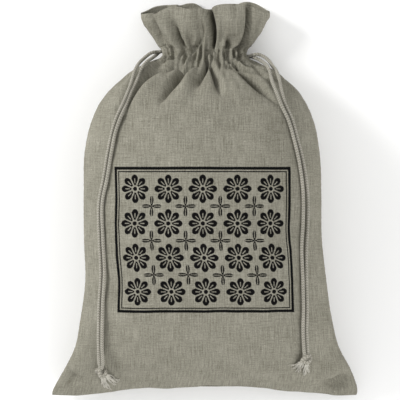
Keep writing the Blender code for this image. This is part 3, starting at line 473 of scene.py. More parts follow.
@dataclass(frozen=True)
class FilledBag:
    """The shape of the filled and gathered bag, which all its pieces are read from."""

    sections: Table = Table(SECTION_COLUMNS, SECTION_ROWS)
    mouth: Table = Table(MOUTH_COLUMNS, MOUTH_ROWS)
    dents: Table = Table(DENT_COLUMNS, DENT_ROWS)
    front_folds: Table = Table(FOLD_COLUMNS, FRONT_FOLD_ROWS + FRONT_CREASE_ROWS)
    back_folds: Table = Table(FOLD_COLUMNS, BACK_FOLD_ROWS + BACK_CREASE_ROWS)
    front_pleats: int = 11
    back_pleats: int = 7
    pucker: float = 0.14 * MM
    pucker_length: float = 8.5 * MM
    pucker_reach: float = 7 * MM
    pucker_inset: float = 3 * MM
    pucker_sway: float = 2.1
    pucker_sway_length: float = 31 * MM
    dent_top: float = 125 * MM
    dent_fade: float = 40 * MM
    dent_least: float = 0.25
    stitch_dip: float = 0.7 * MM
    stitch_dip_width: float = 1.4 * MM

    def channel_weight(self, y: np.ndarray) -> np.ndarray:
        """Give 1 inside the drawstring channel and 0 outside it, with a short slope between."""
        beyond = (np.abs(y - CHANNEL_Y) - CHANNEL_HALF) / CHANNEL_SLOPE + CHANNEL_SLOPE_IN
        return 1 - np.clip(beyond, 0, 1)

    def section(self, y: np.ndarray, places: np.ndarray, side: Side,
                lift: np.ndarray) -> tuple[np.ndarray, np.ndarray]:
        """Give the smooth cloth's cross-sections, with their points spaced evenly.

        Args:
            y: heights of the sections.
            places: places across, from -1 at the left seam to 1 at the right seam.
            side: the panel.
            lift: how far the panel's edge stands off the seams in each section.

        Returns:
            x, and z measured from the seams, each with a row for each section.
        """
        left = self.sections.smooth("left", y)
        right = self.sections.smooth("right", y)
        name = "front" if side is Side.FRONT else "back"
        rise = np.maximum(self.sections.smooth(name, y), 0)
        square = self.sections.smooth(name + "_square", y) / MM
        share = np.clip(lift / np.maximum(rise, MM), 0, MOST_LIFT)
        edge = np.arccos(share ** (square / 2))
        turn = np.linspace(-1, 1, SECTION_SAMPLES)[None, :] * edge[:, None]
        power = 2 / square[:, None]
        across = np.sign(np.sin(turn)) * np.abs(np.sin(turn)) ** power
        fine_x = across * np.where(across < 0, left[:, None], right[:, None])
        fine_z = rise[:, None] * np.abs(np.cos(turn)) ** power
        steps = np.hypot(np.diff(fine_x, axis=1), np.diff(fine_z, axis=1))
        length = np.concatenate([np.zeros((len(y), 1)), np.cumsum(steps, axis=1)], axis=1)
        x = np.empty((len(y), len(places)))
        z = np.empty_like(x)
        for row in range(len(y)):
            wanted = (places + 1) / 2 * length[row, -1]
            x[row] = np.interp(wanted, length[row], fine_x[row])
            z[row] = np.interp(wanted, length[row], fine_z[row])
        return x, side * (z + SEAM_GAP / 2)

    def seam_surface(self, x: np.ndarray, y: np.ndarray) -> np.ndarray:
        """Work out the surface between the panels, which holds the seams.

        Args:
            x: places across.
            y: places along.

        Returns:
            Its height there.
        """
        bottom = SECTION_ROWS[0][0] * MM
        outwards = np.clip(np.abs(x) / BOTTOM_HALF, 0, 1)
        sag = CORNER_DROOP * outwards**3 * bell(y - bottom, BOTTOM_BOW_REACH)
        return self.sections.smooth("seam", y) - sag

    def edge_shift(self, x: np.ndarray, y: np.ndarray, side: Side) -> np.ndarray:
        """Work out the bow of the bottom seam and the unevenness of the mouth.

        Args:
            x: places across.
            y: places along.
            side: the panel.

        Returns:
            How far each point moves along Y.
        """
        bottom = SECTION_ROWS[0][0] * MM
        bow = BOTTOM_BOW * np.clip(1 - (x / BOW_HALF) ** 2, 0, 1) * bell(y - bottom, BOTTOM_BOW_REACH)
        mouth = self.mouth.smooth("front" if side is Side.FRONT else "back", x)
        top = BANDS[-1][1] * MM
        reach = np.clip(1 + (y - top) / MOUTH_REACH, 0, MOUTH_PULL_MOST)
        return bow + (mouth - top) * reach**2

    def folds(self, side: Side, x: np.ndarray,
              y: np.ndarray) -> tuple[np.ndarray, np.ndarray, np.ndarray]:
        """Work out the folds of a panel.

        Args:
            side: the panel.
            x: where its points lie across.
            y: where its points lie along.

        Returns:
            The folds' height at each point, and how far each point slips across and along.
        """
        height, slip_x, slip_y = np.zeros_like(x), np.zeros_like(x), np.zeros_like(x)
        t = np.linspace(0, 1, FOLD_SAMPLES)
        weights = ((1 - t) * (1 - 2 * t), 4 * t * (1 - t), t * (2 * t - 1))
        table = self.front_folds if side is Side.FRONT else self.back_folds
        for fold in table.named_rows():
            line_x = sum(w * fold[name] * MM for w, name in zip(weights, ("x1", "x2", "x3")))
            line_y = sum(w * fold[name] * MM for w, name in zip(weights, ("y1", "y2", "y3")))
            width = fold["width"] * MM
            margin = FOLD_MARGIN * width * max(1, fold["widen"])
            near = ((x > line_x.min() - margin) & (x < line_x.max() + margin)
                    & (y > line_y.min() - margin) & (y < line_y.max() + margin))
            distance = np.hypot(x[near][:, None] - line_x, y[near][:, None] - line_y)
            nearest = distance.argmin(axis=1)
            along = t[nearest]
            spread = 1 + (fold["widen"] - 1) * along
            away = distance[np.arange(len(nearest)), nearest] / (width * spread)
            ends = np.minimum(fold["first"] + along * FOLD_FADE_IN,
                              fold["last"] + (1 - along) * FOLD_FADE_OUT)
            shape = np.clip(ends, 0, 1) * (1 - FOLD_RIM * away**2) * np.exp(-away**2)
            height[near] += fold["rise"] * MM * shape
            ahead_x, ahead_y = np.gradient(line_x), np.gradient(line_y)
            slipped = fold["slip"] * MM * shape / np.hypot(ahead_x, ahead_y)[nearest]
            slip_x[near] -= slipped * ahead_y[nearest]
            slip_y[near] += slipped * ahead_x[nearest]
        return height, slip_x, slip_y

    def pleats(self, side: Side, places: np.ndarray, y: np.ndarray) -> np.ndarray:
        """Work out the gathers, which are deepest at the drawstring channel.

        Args:
            side: the panel.
            places: places across, from -1 at the left seam to 1 at the right seam.
            y: heights of the sections.

        Returns:
            Their height at each point.
        """
        count = self.front_pleats if side is Side.FRONT else self.back_pleats
        depth = self.sections.smooth("pleat", y)
        uneven = places + sum(size * np.sin(waves * places + start)
                              for size, waves, start in PLEAT_SWAYS)
        wave = np.cos(math.pi * count * uneven) * off_seams(places, PLEAT_STEEPNESS)
        return depth[:, None] * wave[None, :]

    def relief(self, side: Side, places: np.ndarray, base: np.ndarray) -> np.ndarray:
        """Give the height of dents, seam puckers and the dips along the stitching.

        Args:
            side: the panel.
            places: places across, from -1 to 1.
            base: points of the smooth cloth.

        Returns:
            The height at each point.
        """
        x, y = base[..., 0], base[..., 1]
        inside = off_seams(places, DENT_STEEPNESS)[None, :]
        body = np.clip((self.dent_top - y) / self.dent_fade, self.dent_least, 1)
        height = np.zeros_like(x)
        for dent in self.dents.named_rows():
            travel = x * math.cos(dent["direction"]) + y * math.sin(dent["direction"])
            start = dent["start"] + side
            height += dent["height"] * MM * np.sin(TURN * travel / (dent["length"] * MM) + start)
        height *= inside * body
        steps = np.linalg.norm(np.diff(base, axis=1), axis=2).sum(axis=1)
        to_seam = (1 - np.abs(places))[None, :] * steps[:, None] / 2
        sway = self.pucker_sway * np.sin(y / self.pucker_sway_length)
        beat = np.cos(TURN * y / self.pucker_length + sway + side)
        open_cloth = 1 - self.channel_weight(y)
        edge = bell(to_seam - self.pucker_inset, self.pucker_reach)
        height += self.pucker * beat * edge * open_cloth
        for row in STITCH_ROWS:
            height -= self.stitch_dip * bell(y - row, self.stitch_dip_width)
        return height

    def smooth_cloth(self, places: np.ndarray, y: np.ndarray, side: Side,
                     lift: np.ndarray) -> tuple[np.ndarray, np.ndarray]:
        """Lay the cloth without its folds.

        Args:
            places: places across, from -1 at the left seam to 1 at the right seam.
            y: heights of the sections.
            side: the panel.
            lift: how far the panel's edge stands off the seams in each section.

        Returns:
            Its points, and the outward direction at each.
        """

        def surface(columns: np.ndarray, rows: np.ndarray) -> np.ndarray:
            x, z = self.section(rows, columns, side, lift)
            moved = rows[:, None] + self.edge_shift(x, rows[:, None], side)
            return np.stack([x, moved, self.seam_surface(x, moved) + z], axis=-1)

        nudge = 0.4 * MM
        tilt = 0.002
        low, high = np.clip(places - tilt, -1, 1), np.clip(places + tilt, -1, 1)
        around = surface(high, y) - surface(low, y)
        along = surface(places, y + nudge) - surface(places, y - nudge)
        return surface(places, y), unit(side * np.cross(around, along))

    def cloth(self, places: np.ndarray, y: np.ndarray, inward: np.ndarray, is_hem: np.ndarray,
              side: Side) -> np.ndarray:
        """Give the points of one face of the cloth.

        Args:
            places: places across, from -1 to 1.
            y: height of each row.
            inward: how far each row lies inside the smooth surface.
            is_hem: whether each row belongs to the turned-in hem.
            side: the panel.

        Returns:
            The points, with a row for each height.
        """
        base, outward = self.smooth_cloth(places, y, side, SIDE_OPENING * self.channel_weight(y))
        height, slip_x, slip_y = self.folds(side, base[..., 0], base[..., 1])
        keep = off_seams(places, FOLD_STEEPNESS)
        height = height * keep + self.pleats(side, places, y) + self.relief(side, places, base)
        weight = self.channel_weight(y)[:, None]
        hem = is_hem[:, None]
        bulge = np.where(hem, np.minimum(height, 0), np.maximum(height, -CHANNEL_PINCH))
        height = (1 - weight) * height + weight * bulge
        height += CHANNEL_PUFF * weight * ~hem
        points = base + outward * (height - inward[:, None])[..., None]
        points[..., 0] += slip_x * keep
        points[..., 1] += slip_y * keep
        level = self.seam_surface(points[..., 0], points[..., 1]) + side * SEAM_GAP / 2
        points[..., 2] = side * np.maximum(side * points[..., 2], side * level)
        floor = np.where(inward <= -OUTER_FACE, 0.0, CLOTH)[:, None]
        points[..., 2] = np.maximum(points[..., 2], floor)
        return points


class Amount:
    """A value, colour or direction in a material, whose sums and products lay Math nodes."""

    def __init__(self, tree: NodeTree, socket: bpy.types.NodeSocket) -> None:
        """Keep the socket that gives the value, and the nodes that it belongs to."""
        self.tree = tree
        self.socket = socket

    def maths(self, operation: str, *terms: Term, clamp: bool = False) -> Amount:
        """Lay a Math node on the value and the other terms that the operation takes."""
        return self.tree.maths(operation, self, *terms, clamp=clamp)

    def __add__(self, term: Term) -> Amount:
        """Give the sum."""
        return self.maths("ADD", term)

    def __sub__(self, term: Term) -> Amount:
        """Give the difference."""
        return self.maths("SUBTRACT", term)

    def __rsub__(self, number: float) -> Amount:
        """Give a plain number less the value."""
        return self.tree.maths("SUBTRACT", number, self)

    def __mul__(self, term: Term) -> Amount:
        """Give the product."""
        return self.maths("MULTIPLY", term)

    def spread(self, low: float, high: float, to_low: float, to_high: float) -> Amount:
        """Map the value from one range to another, clamped.

        Args:
            low: start of the first range.
            high: its end.
            to_low: start of the other range.
            to_high: its end.

        Returns:
            The mapped value.
        """
        made = self.tree.node("ShaderNodeMapRange", clamp=True)
        for item, socket in zip((self, low, high, to_low, to_high), made.inputs):
            self.tree.put(item, socket)
        return Amount(self.tree, made.outputs[0])


Term = Amount | float


class NodeTree:
    """Short ways to lay a material's nodes and join them."""

    def __init__(self, name: str) -> None:
        """Make a material of the given name, with a Principled shader."""
        self.material = bpy.data.materials.new(name)
        self.material.use_nodes = True
        self.tree = self.material.node_tree
        self.shader = self.tree.nodes["Principled BSDF"]

    def node(self, kind: str, **settings: object) -> bpy.types.Node:
        """Add a node.

        Args:
            kind: the node's type.
            settings: its own settings by name.

        Returns:
            The node.
        """
        made = self.tree.nodes.new(kind)
        for name, value in settings.items():
            setattr(made, name, value)
        return made

    def put(self, value: object, socket: bpy.types.NodeSocket) -> None:
        """Join an amount to an input, or set the input to a plain value.

        Args:
            value: the amount or the value.
            socket: the input.
        """
        if isinstance(value, Amount):
            self.tree.links.new(value.socket, socket)
        else:
            socket.default_value = value

    def maths(self, operation: str, *terms: Term, clamp: bool = False) -> Amount:
        """Add a Math node.

        Args:
            operation: what it does.
            terms: what it does that to.
            clamp: whether the result is kept from 0 to 1.

        Returns:
            The result.
        """
        made = self.node("ShaderNodeMath", operation=operation, use_clamp=clamp)
        for term, socket in zip(terms, made.inputs):
            self.put(term, socket)
        return Amount(self, made.outputs[0])

    def thread_places(self) -> tuple[Amount, Amount, Amount]:
        """Give the places on the piece's own UV map, and their two coordinates."""
        places = Amount(self, self.node("ShaderNodeUVMap", uv_map=UV_NAME).outputs[0])
        parts = self.node("ShaderNodeSeparateXYZ")
        self.put(places, parts.inputs[0])
        return places, Amount(self, parts.outputs[0]), Amount(self, parts.outputs[1])

    def blend(self, share: Amount, first: object, second: object) -> Amount:
        """Mix two colours.

        Args:
            share: how much of the second there is.
            first: the first colour.
            second: the second colour.

        Returns:
            The mixed colour.
        """
        made = self.node("ShaderNodeMix", data_type="RGBA")
        for item, name in ((share, "Factor"), (first, "A"), (second, "B")):
            self.put(item, made.inputs[name])
        return Amount(self, made.outputs["Result"])

    def bump(self, height: Amount, distance: float, strength: float,
             below: Amount | None = None) -> Amount:
        """Turn a height into a bumped direction.

        Args:
            height: the height, as a share of the distance.
            distance: how high 1 stands.
            strength: how much of the bump shows.
            below: another bump that it lies over, or None.

        Returns:
            The direction.
        """
        made = self.node("ShaderNodeBump")
        made.inputs["Distance"].default_value = distance
        made.inputs["Strength"].default_value = strength
        self.put(height, made.inputs["Height"])
        if below is not None:
            self.put(below, made.inputs["Normal"])
        return Amount(self, made.outputs[0])

    def finish(self, values: dict[str, object]) -> bpy.types.Material:
        """Set the shader's own sockets.

        Args:
            values: a value or an amount for each of them, by name.

        Returns:
            The material.
        """
        for name, value in values.items():
            self.put(value, self.shader.inputs[name])
        return self.material


@dataclass(frozen=True)
class Noise:
    """An uneven pattern that shades the threads.

    Args:
        scale: how fine it is.
        detail: how many finer patterns it holds.
        roughness: how strong those are.
        shades: the shade at the low and at the high end of the values that count.
        counts: the range of those values.
        stretch: how much finer it is along each coordinate.
    """

    scale: float
    detail: float
    roughness: float = 0.5
    shades: tuple[float, float] = (0, 1)
    counts: tuple[float, float] = NOISE_BULK
    stretch: tuple[float, float, float] = (1, 1, 1)

    def values(self, tree: NodeTree, places: Amount) -> Amount:
        """Lay the noise on stretched coordinates.

        Args:
            tree: the material's nodes.
            places: the coordinates.

        Returns:
            Its values, from 0 to 1.
        """
        mapping = tree.node("ShaderNodeMapping")
        tree.put(places, mapping.inputs["Vector"])
        mapping.inputs["Scale"].default_value = self.stretch
        made = tree.node("ShaderNodeTexNoise", noise_dimensions="3D")
        for name, value in (("Vector", Amount(tree, mapping.outputs[0])), ("Scale", self.scale),
                            ("Detail", self.detail), ("Roughness", self.roughness)):
            tree.put(value, made.inputs[name])
        return Amount(tree, made.outputs["Fac"])

    def shade(self, tree: NodeTree, places: Amount) -> Amount:
        """Lay the noise and give its shade."""
        return self.values(tree, places).spread(*self.counts, *self.shades)


@dataclass(frozen=True)
class RosettePrint:
    """A block print of eight-petalled rosettes with leaves between them, in a plain double border.

    The cell, the line, its soft edge and the border's gap are in metres on the cloth. The other
    sizes of rosettes and leaves are shares of a cell, and what ends in _line is a share of the line.
    """

    cell: float = 33 * MM
    across: int = 5
    along: int = 4
    line: float = 0.95 * MM
    soft: float = 0.2 * MM
    rim_soft: float = 0.006
    petals: int = 8
    petal_ring: float = 0.25
    petal_swell: float = 0.165
    petal_roundness: float = 0.7
    parting_line: float = 0.62
    eye: float = 0.062
    eye_gap: float = 0.105
    vein: tuple[float, float] = (0.165, 0.30)
    vein_line: float = 0.42
    leaves: int = 4
    leaf: float = 0.30
    leaf_sharpness: float = 2.4
    slit_start: float = 0.07
    slit_line: float = 0.3
    border_gap: float = 3.2 * MM
    outer_line: float = 1.5
    inner_line: float = 0.6

    def line_mask(self, distance: Amount, half: float) -> Amount:
        """Give 1 within half of a line's width and 0 beyond it."""
        return distance.maths("ABSOLUTE").spread(half - self.soft, half + self.soft, 1, 0)

    def polar(self, u: Amount, v: Amount, shift: tuple[float, float]) -> tuple[Amount, Amount]:
        """Measure from the middle of each cell.

        Args:
            u: place across the cloth from the middle of the print.
            v: place along the cloth from the middle of the print.
            shift: where the cells' corners lie, as shares of a cell.

        Returns:
            The distance, as a share of a cell, and the angle.
        """
        x, y = ((place.maths("DIVIDE", self.cell) + offset).maths("FRACT") - 0.5
                for place, offset in zip((u, v), shift))
        return (x * x + y * y).maths("SQRT"), y.maths("ARCTAN2", x)

    def rosette(self, radius: Amount, angle: Amount) -> Amount:
        """Draw a rosette, bare along its petals' veins, between them and round the eye.

        Args:
            radius: distance from the middle of the cell.
            angle: angle round it.

        Returns:
            1 on the rosette and 0 off it.
        """
        swing = (angle * (self.petals / 2)).maths("COSINE")
        swell = swing.maths("ABSOLUTE").maths("POWER", self.petal_roundness)
        rim = swell * self.petal_swell + self.petal_ring
        petals = (rim - radius).spread(-self.rim_soft, self.rim_soft, 0, 1)
        ray = self.cell / (self.petals / 2)
        middle, half = sum(self.vein) / 2, (self.vein[1] - self.vein[0]) / 2
        in_petal = self.line_mask((radius - middle) * self.cell, half * self.cell)
        sine = (angle * (self.petals / 2)).maths("SINE")
        vein = self.line_mask(sine * radius * ray, self.vein_line * self.line)
        parting = self.line_mask(swing * radius * ray, self.parting_line * self.line)
        gap = radius.maths("LESS_THAN", self.eye_gap)
        bare = (vein * in_petal).maths("MAXIMUM", parting.maths("MAXIMUM", gap))
        eye = radius.maths("LESS_THAN", self.eye)
        return petals.maths("SUBTRACT", bare, clamp=True).maths("MAXIMUM", eye)

    def crossed_leaves(self, radius: Amount, angle: Amount) -> Amount:
        """Draw the leaves between the rosettes, with a bare slit in each.

        Args:
            radius: distance from the cell's corner.
            angle: angle round it.

        Returns:
            1 on the leaves and 0 off them.
        """
        swing = (angle * (self.leaves / 2)).maths("COSINE")
        blade = swing.maths("ABSOLUTE").maths("POWER", self.leaf_sharpness) * self.leaf
        leaf = (blade - radius).spread(-self.rim_soft, self.rim_soft, 0, 1)
        across = (angle * (self.leaves / 2)).maths("SINE") * radius * (self.cell / (self.leaves / 2))
        slit = self.line_mask(across, self.slit_line * self.line)
        slit = slit * radius.maths("GREATER_THAN", self.slit_start)
        return leaf.maths("SUBTRACT", slit, clamp=True)

    def mask(self, u: Amount, v: Amount) -> Amount:
        """Give where the ink lies.

        Args:
            u: place across the cloth from the middle of the print.
            v: place along the cloth from the middle of the print.

        Returns:
            1 on the ink and 0 off it.
        """
        middle = (0.5 * (self.across % 2), 0.5 * (self.along % 2))
        corner = (middle[0] + 0.5, middle[1] + 0.5)
        beyond_side = u.maths("ABSOLUTE") - self.cell * self.across / 2
        beyond_end = v.maths("ABSOLUTE") - self.cell * self.along / 2
        beyond = beyond_side.maths("MAXIMUM", beyond_end)
        leaves = self.crossed_leaves(*self.polar(u, v, corner))
        leaves = leaves * beyond.maths("LESS_THAN", -self.cell / 2)
        ink = self.rosette(*self.polar(u, v, middle)).maths("MAXIMUM", leaves)
        ink = ink * beyond.maths("LESS_THAN", 0.0)
        outer = self.line_mask(beyond - self.border_gap, self.outer_line * self.line)
        inner = self.line_mask(beyond, self.inner_line * self.line)
        return ink.maths("MAXIMUM", outer.maths("MAXIMUM", inner))


@dataclass(frozen=True)
class LinenFinish:
    """Undyed plain-woven linen: slubs, uneven threads, darker flecks, painted slub highlights, painted
    shade between threads.
    """

    colour: tuple[float, float, float, float] = (0.232, 0.222, 0.180, 1)
    dark: tuple[float, float, float, float] = (0.112, 0.105, 0.078, 1)
    ink: tuple[float, float, float, float] = (0.003, 0.003, 0.0035, 1)
    ink_edge: float = 0.35 * MM
    ink_noise: Noise = Noise(1400, 3, 0.7)
    wear_counts: tuple[float, float] = (-0.4, 0.9)
    wear_cover: tuple[float, float] = (0.92, 1.0)
    thread: float = 0.62 * MM
    warp_drift: float = 0.3 * MM
    weft_drift: float = 0.25 * MM
    # painted shade between the threads, with their crowns painted lighter
    weave_painted_shade: float = 0.14
    weave_height: float = 0.10 * MM
    wander: Noise = Noise(220, 2)
    weft_slubs: Noise = Noise(1, 3, 0.6, stretch=(60, 1050, 1))
    warp_slubs: Noise = Noise(1, 3, 0.6, stretch=(1050, 48, 1))
    slub_parts: tuple[float, float] = (0.8, 1.2)
    slub_counts: tuple[float, float] = (0.7, 1.3)
    slub_shades: tuple[float, float] = (-0.42, 0.42)
    slub_height: float = 0.35 * MM
    mottle: Noise = Noise(34, 4, 0.55, (-0.12, 0.12))
    grain: Noise = Noise(620, 2, 0.6, (-0.22, 0.22))
    dark_fleck: Noise = Noise(900, 2, 0.5, (0.0, -0.35), (0.62, 0.74))
    # pale flecks that paint highlights on the slubs
    painted_slub_highlights: Noise = Noise(1, 2, 0.5, (0.0, 0.9), (0.68, 0.76), (260, 560, 1))
    shade_counts: tuple[float, float] = (-0.7, 0.7)

    def material(self, name: str, motif: RosettePrint | None = None) -> bpy.types.Material:
        """Make the linen's material.

        Args:
            name: the material's name.
            motif: the print on it, or None where the cloth is plain.

        Returns:
            The material.
        """
        tree = NodeTree(name)
        places, u, v = tree.thread_places()
        wander = self.wander.values(tree, places)
        beat = math.pi / self.thread
        warp = (u + wander.spread(*NOISE_BULK, -self.warp_drift, self.warp_drift)) * beat
        weft = (v + wander.spread(*NOISE_BULK, self.weft_drift, -self.weft_drift)) * beat
        weave = warp.maths("SINE") * weft.maths("SINE")
        slubs = (self.weft_slubs.values(tree, places) * self.slub_parts[0]
                 + self.warp_slubs.values(tree, places) * self.slub_parts[1])
        shade = slubs.spread(*self.slub_counts, *self.slub_shades)
        # the last of these paints highlights on the slubs as pale flecks
        for noise in (self.mottle, self.grain, self.dark_fleck, self.painted_slub_highlights):
            shade = shade + noise.shade(tree, places)
        # painted shade: the weave darkens the colour where the threads' bump lies low and lightens their
        # crowns
        share = (shade + weave * self.weave_painted_shade).spread(*self.shade_counts, 0, 1)
        cloth = tree.blend(share, self.dark, self.lit())
        if motif is not None:
            ragged = self.ink_noise.values(tree, places)
            edge = ragged.spread(*NOISE_BULK, -self.ink_edge, self.ink_edge)
            worn = (weave + ragged * 2).spread(*self.wear_counts, *self.wear_cover)
            cloth = tree.blend(motif.mask(u + edge, v - edge) * worn, cloth, self.ink)
        threads = tree.bump(weave, self.weave_height, 0.9)
        return tree.finish({
            "Base Color": cloth,
            "Normal": tree.bump(slubs, self.slub_height, 0.6, threads),
            "Roughness": 0.92,
            "Specular IOR Level": 0.03,
        })

    def lit(self) -> tuple[float, float, float, float]:
        """Give the palest thread's colour, as far above the usual one as the dark is below it."""
        pale = [2 * usual - low for usual, low in zip(self.colour[:3], self.dark[:3])]
        return (*pale, 1)


@dataclass(frozen=True)
class Braid:
    """How a cord is braided: the columns of stitches round it, a stitch's length, and their depth."""

    columns: int = 8
    stitch: float = 2.5 * MM
    depth: float = 0.15

    def swell(self, angles: np.ndarray, run: np.ndarray) -> np.ndarray:
        """Work out how the stitches swell a cord.

        Args:
            angles: angles round the cord.
            run: places along it.

        Returns:
            The share of the cord's radius that it has there.
        """
        around = self.columns / 2 * angles
        rising = 0.5 + 0.5 * np.cos(around + TURN * run / self.stitch)
        falling = 0.5 + 0.5 * np.cos(around - TURN * run / self.stitch)
        high = np.where(np.sin(around) > 0, rising, falling)
        return 1 - self.depth * (1 - high)


@dataclass(frozen=True)
class CottonFinish:
    """Undyed cotton yarn, a little paler than the linen, with painted shade between the stitches of a
    braid.
    """

    colour: tuple[float, float, float, float] = (0.400, 0.382, 0.325, 1)
    dark: tuple[float, float, float, float] = (0.100, 0.093, 0.071, 1)
    stitch_counts: tuple[float, float] = (-1, 0.6)
    # painted shade: the colour is darkest in the grooves between the stitches
    stitch_painted_shades: tuple[float, float] = (0.30, 0.85)
    fibres: Noise = Noise(1, 3, 0.6, (-0.16, 0.16), stretch=(46, 2200, 1))
    fibre_height: float = 0.20 * MM
    drift: Noise = Noise(1, 2, 0.5, (-0.10, 0.10), stretch=(2, 60, 1))

    def material(self, name: str, braid: Braid) -> bpy.types.Material:
        """Make the yarn's material, whose stitches follow the braid on each piece's own tube.

        Args:
            name: the material's name.
            braid: the braid of the cords that it dresses.

        Returns:
            The material.
        """
        tree = NodeTree(name)
        places, turn, run = tree.thread_places()
        around = turn * (math.pi * braid.columns)
        along = run * (TURN / braid.stitch)
        side = around.maths("SINE").maths("GREATER_THAN", 0.0)
        high = ((around + along).maths("COSINE") * side
                + (around - along).maths("COSINE") * (1.0 - side))
        fuzz = self.fibres.values(tree, places)
        # painted shade in the grooves between the stitches, lighter on their ridges
        share = (high.spread(*self.stitch_counts, *self.stitch_painted_shades)
                 + fuzz.spread(*self.fibres.counts, *self.fibres.shades))
        share = share.maths("ADD", self.drift.shade(tree, places), clamp=True)
        return tree.finish({
            "Base Color": tree.blend(share, self.dark, self.colour),
            "Normal": tree.bump(fuzz, self.fibre_height, 0.7),
            "Roughness": 0.88,
            "Sheen Weight": 0.15,
            "Sheen Roughness": 0.5,
            "Specular IOR Level": 0.2,
        })


@dataclass(frozen=True)
class ThreadFinish:
    """Sewing thread of the linen's colour."""

    colour: tuple[float, float, float, float] = (0.250, 0.238, 0.196, 1)
    dark: tuple[float, float, float, float] = (0.150, 0.141, 0.110, 1)
    plies: Noise = Noise(2600, 3)
    ply_height: float = 0.1 * MM

    def material(self, name: str) -> bpy.types.Material:
        """Make the thread's material, with fine uneven plies.

        Args:
            name: the material's name.

        Returns:
            The material.
        """
        tree = NodeTree(name)
        places = Amount(tree, tree.node("ShaderNodeTexCoord").outputs["Object"])
        plies = self.plies.values(tree, places)
        return tree.finish({
            "Base Color": tree.blend(plies.spread(*NOISE_BULK, 0, 1), self.dark, self.colour),
            "Normal": tree.bump(plies, self.ply_height, 0.6),
            "Roughness": 0.8,
            "Specular IOR Level": 0.25,
        })


def finish_piece(name: str, mesh: bmesh.types.BMesh, material: bpy.types.Material,
                 slot: Slot) -> bpy.types.Object:
    """Turn a bmesh into a smooth piece that faces outwards and rides on the bag.

    Args:
        name: the piece's name.
        mesh: its shape, which is freed.
        material: its material.
        slot: not used.

    Returns:
        The piece.
    """
    bmesh.ops.recalc_face_normals(mesh, faces=mesh.faces[:])
    data = bpy.data.meshes.new(name)
    mesh.to_mesh(data)
    mesh.free()
    data.materials.append(material)
    data.shade_smooth()
    piece = bpy.data.objects.new(name, data)
    bpy.context.scene.collection.objects.link(piece)
    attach(piece, "root")
    log.info("%s: %d faces", name, len(data.polygons))
    return piece


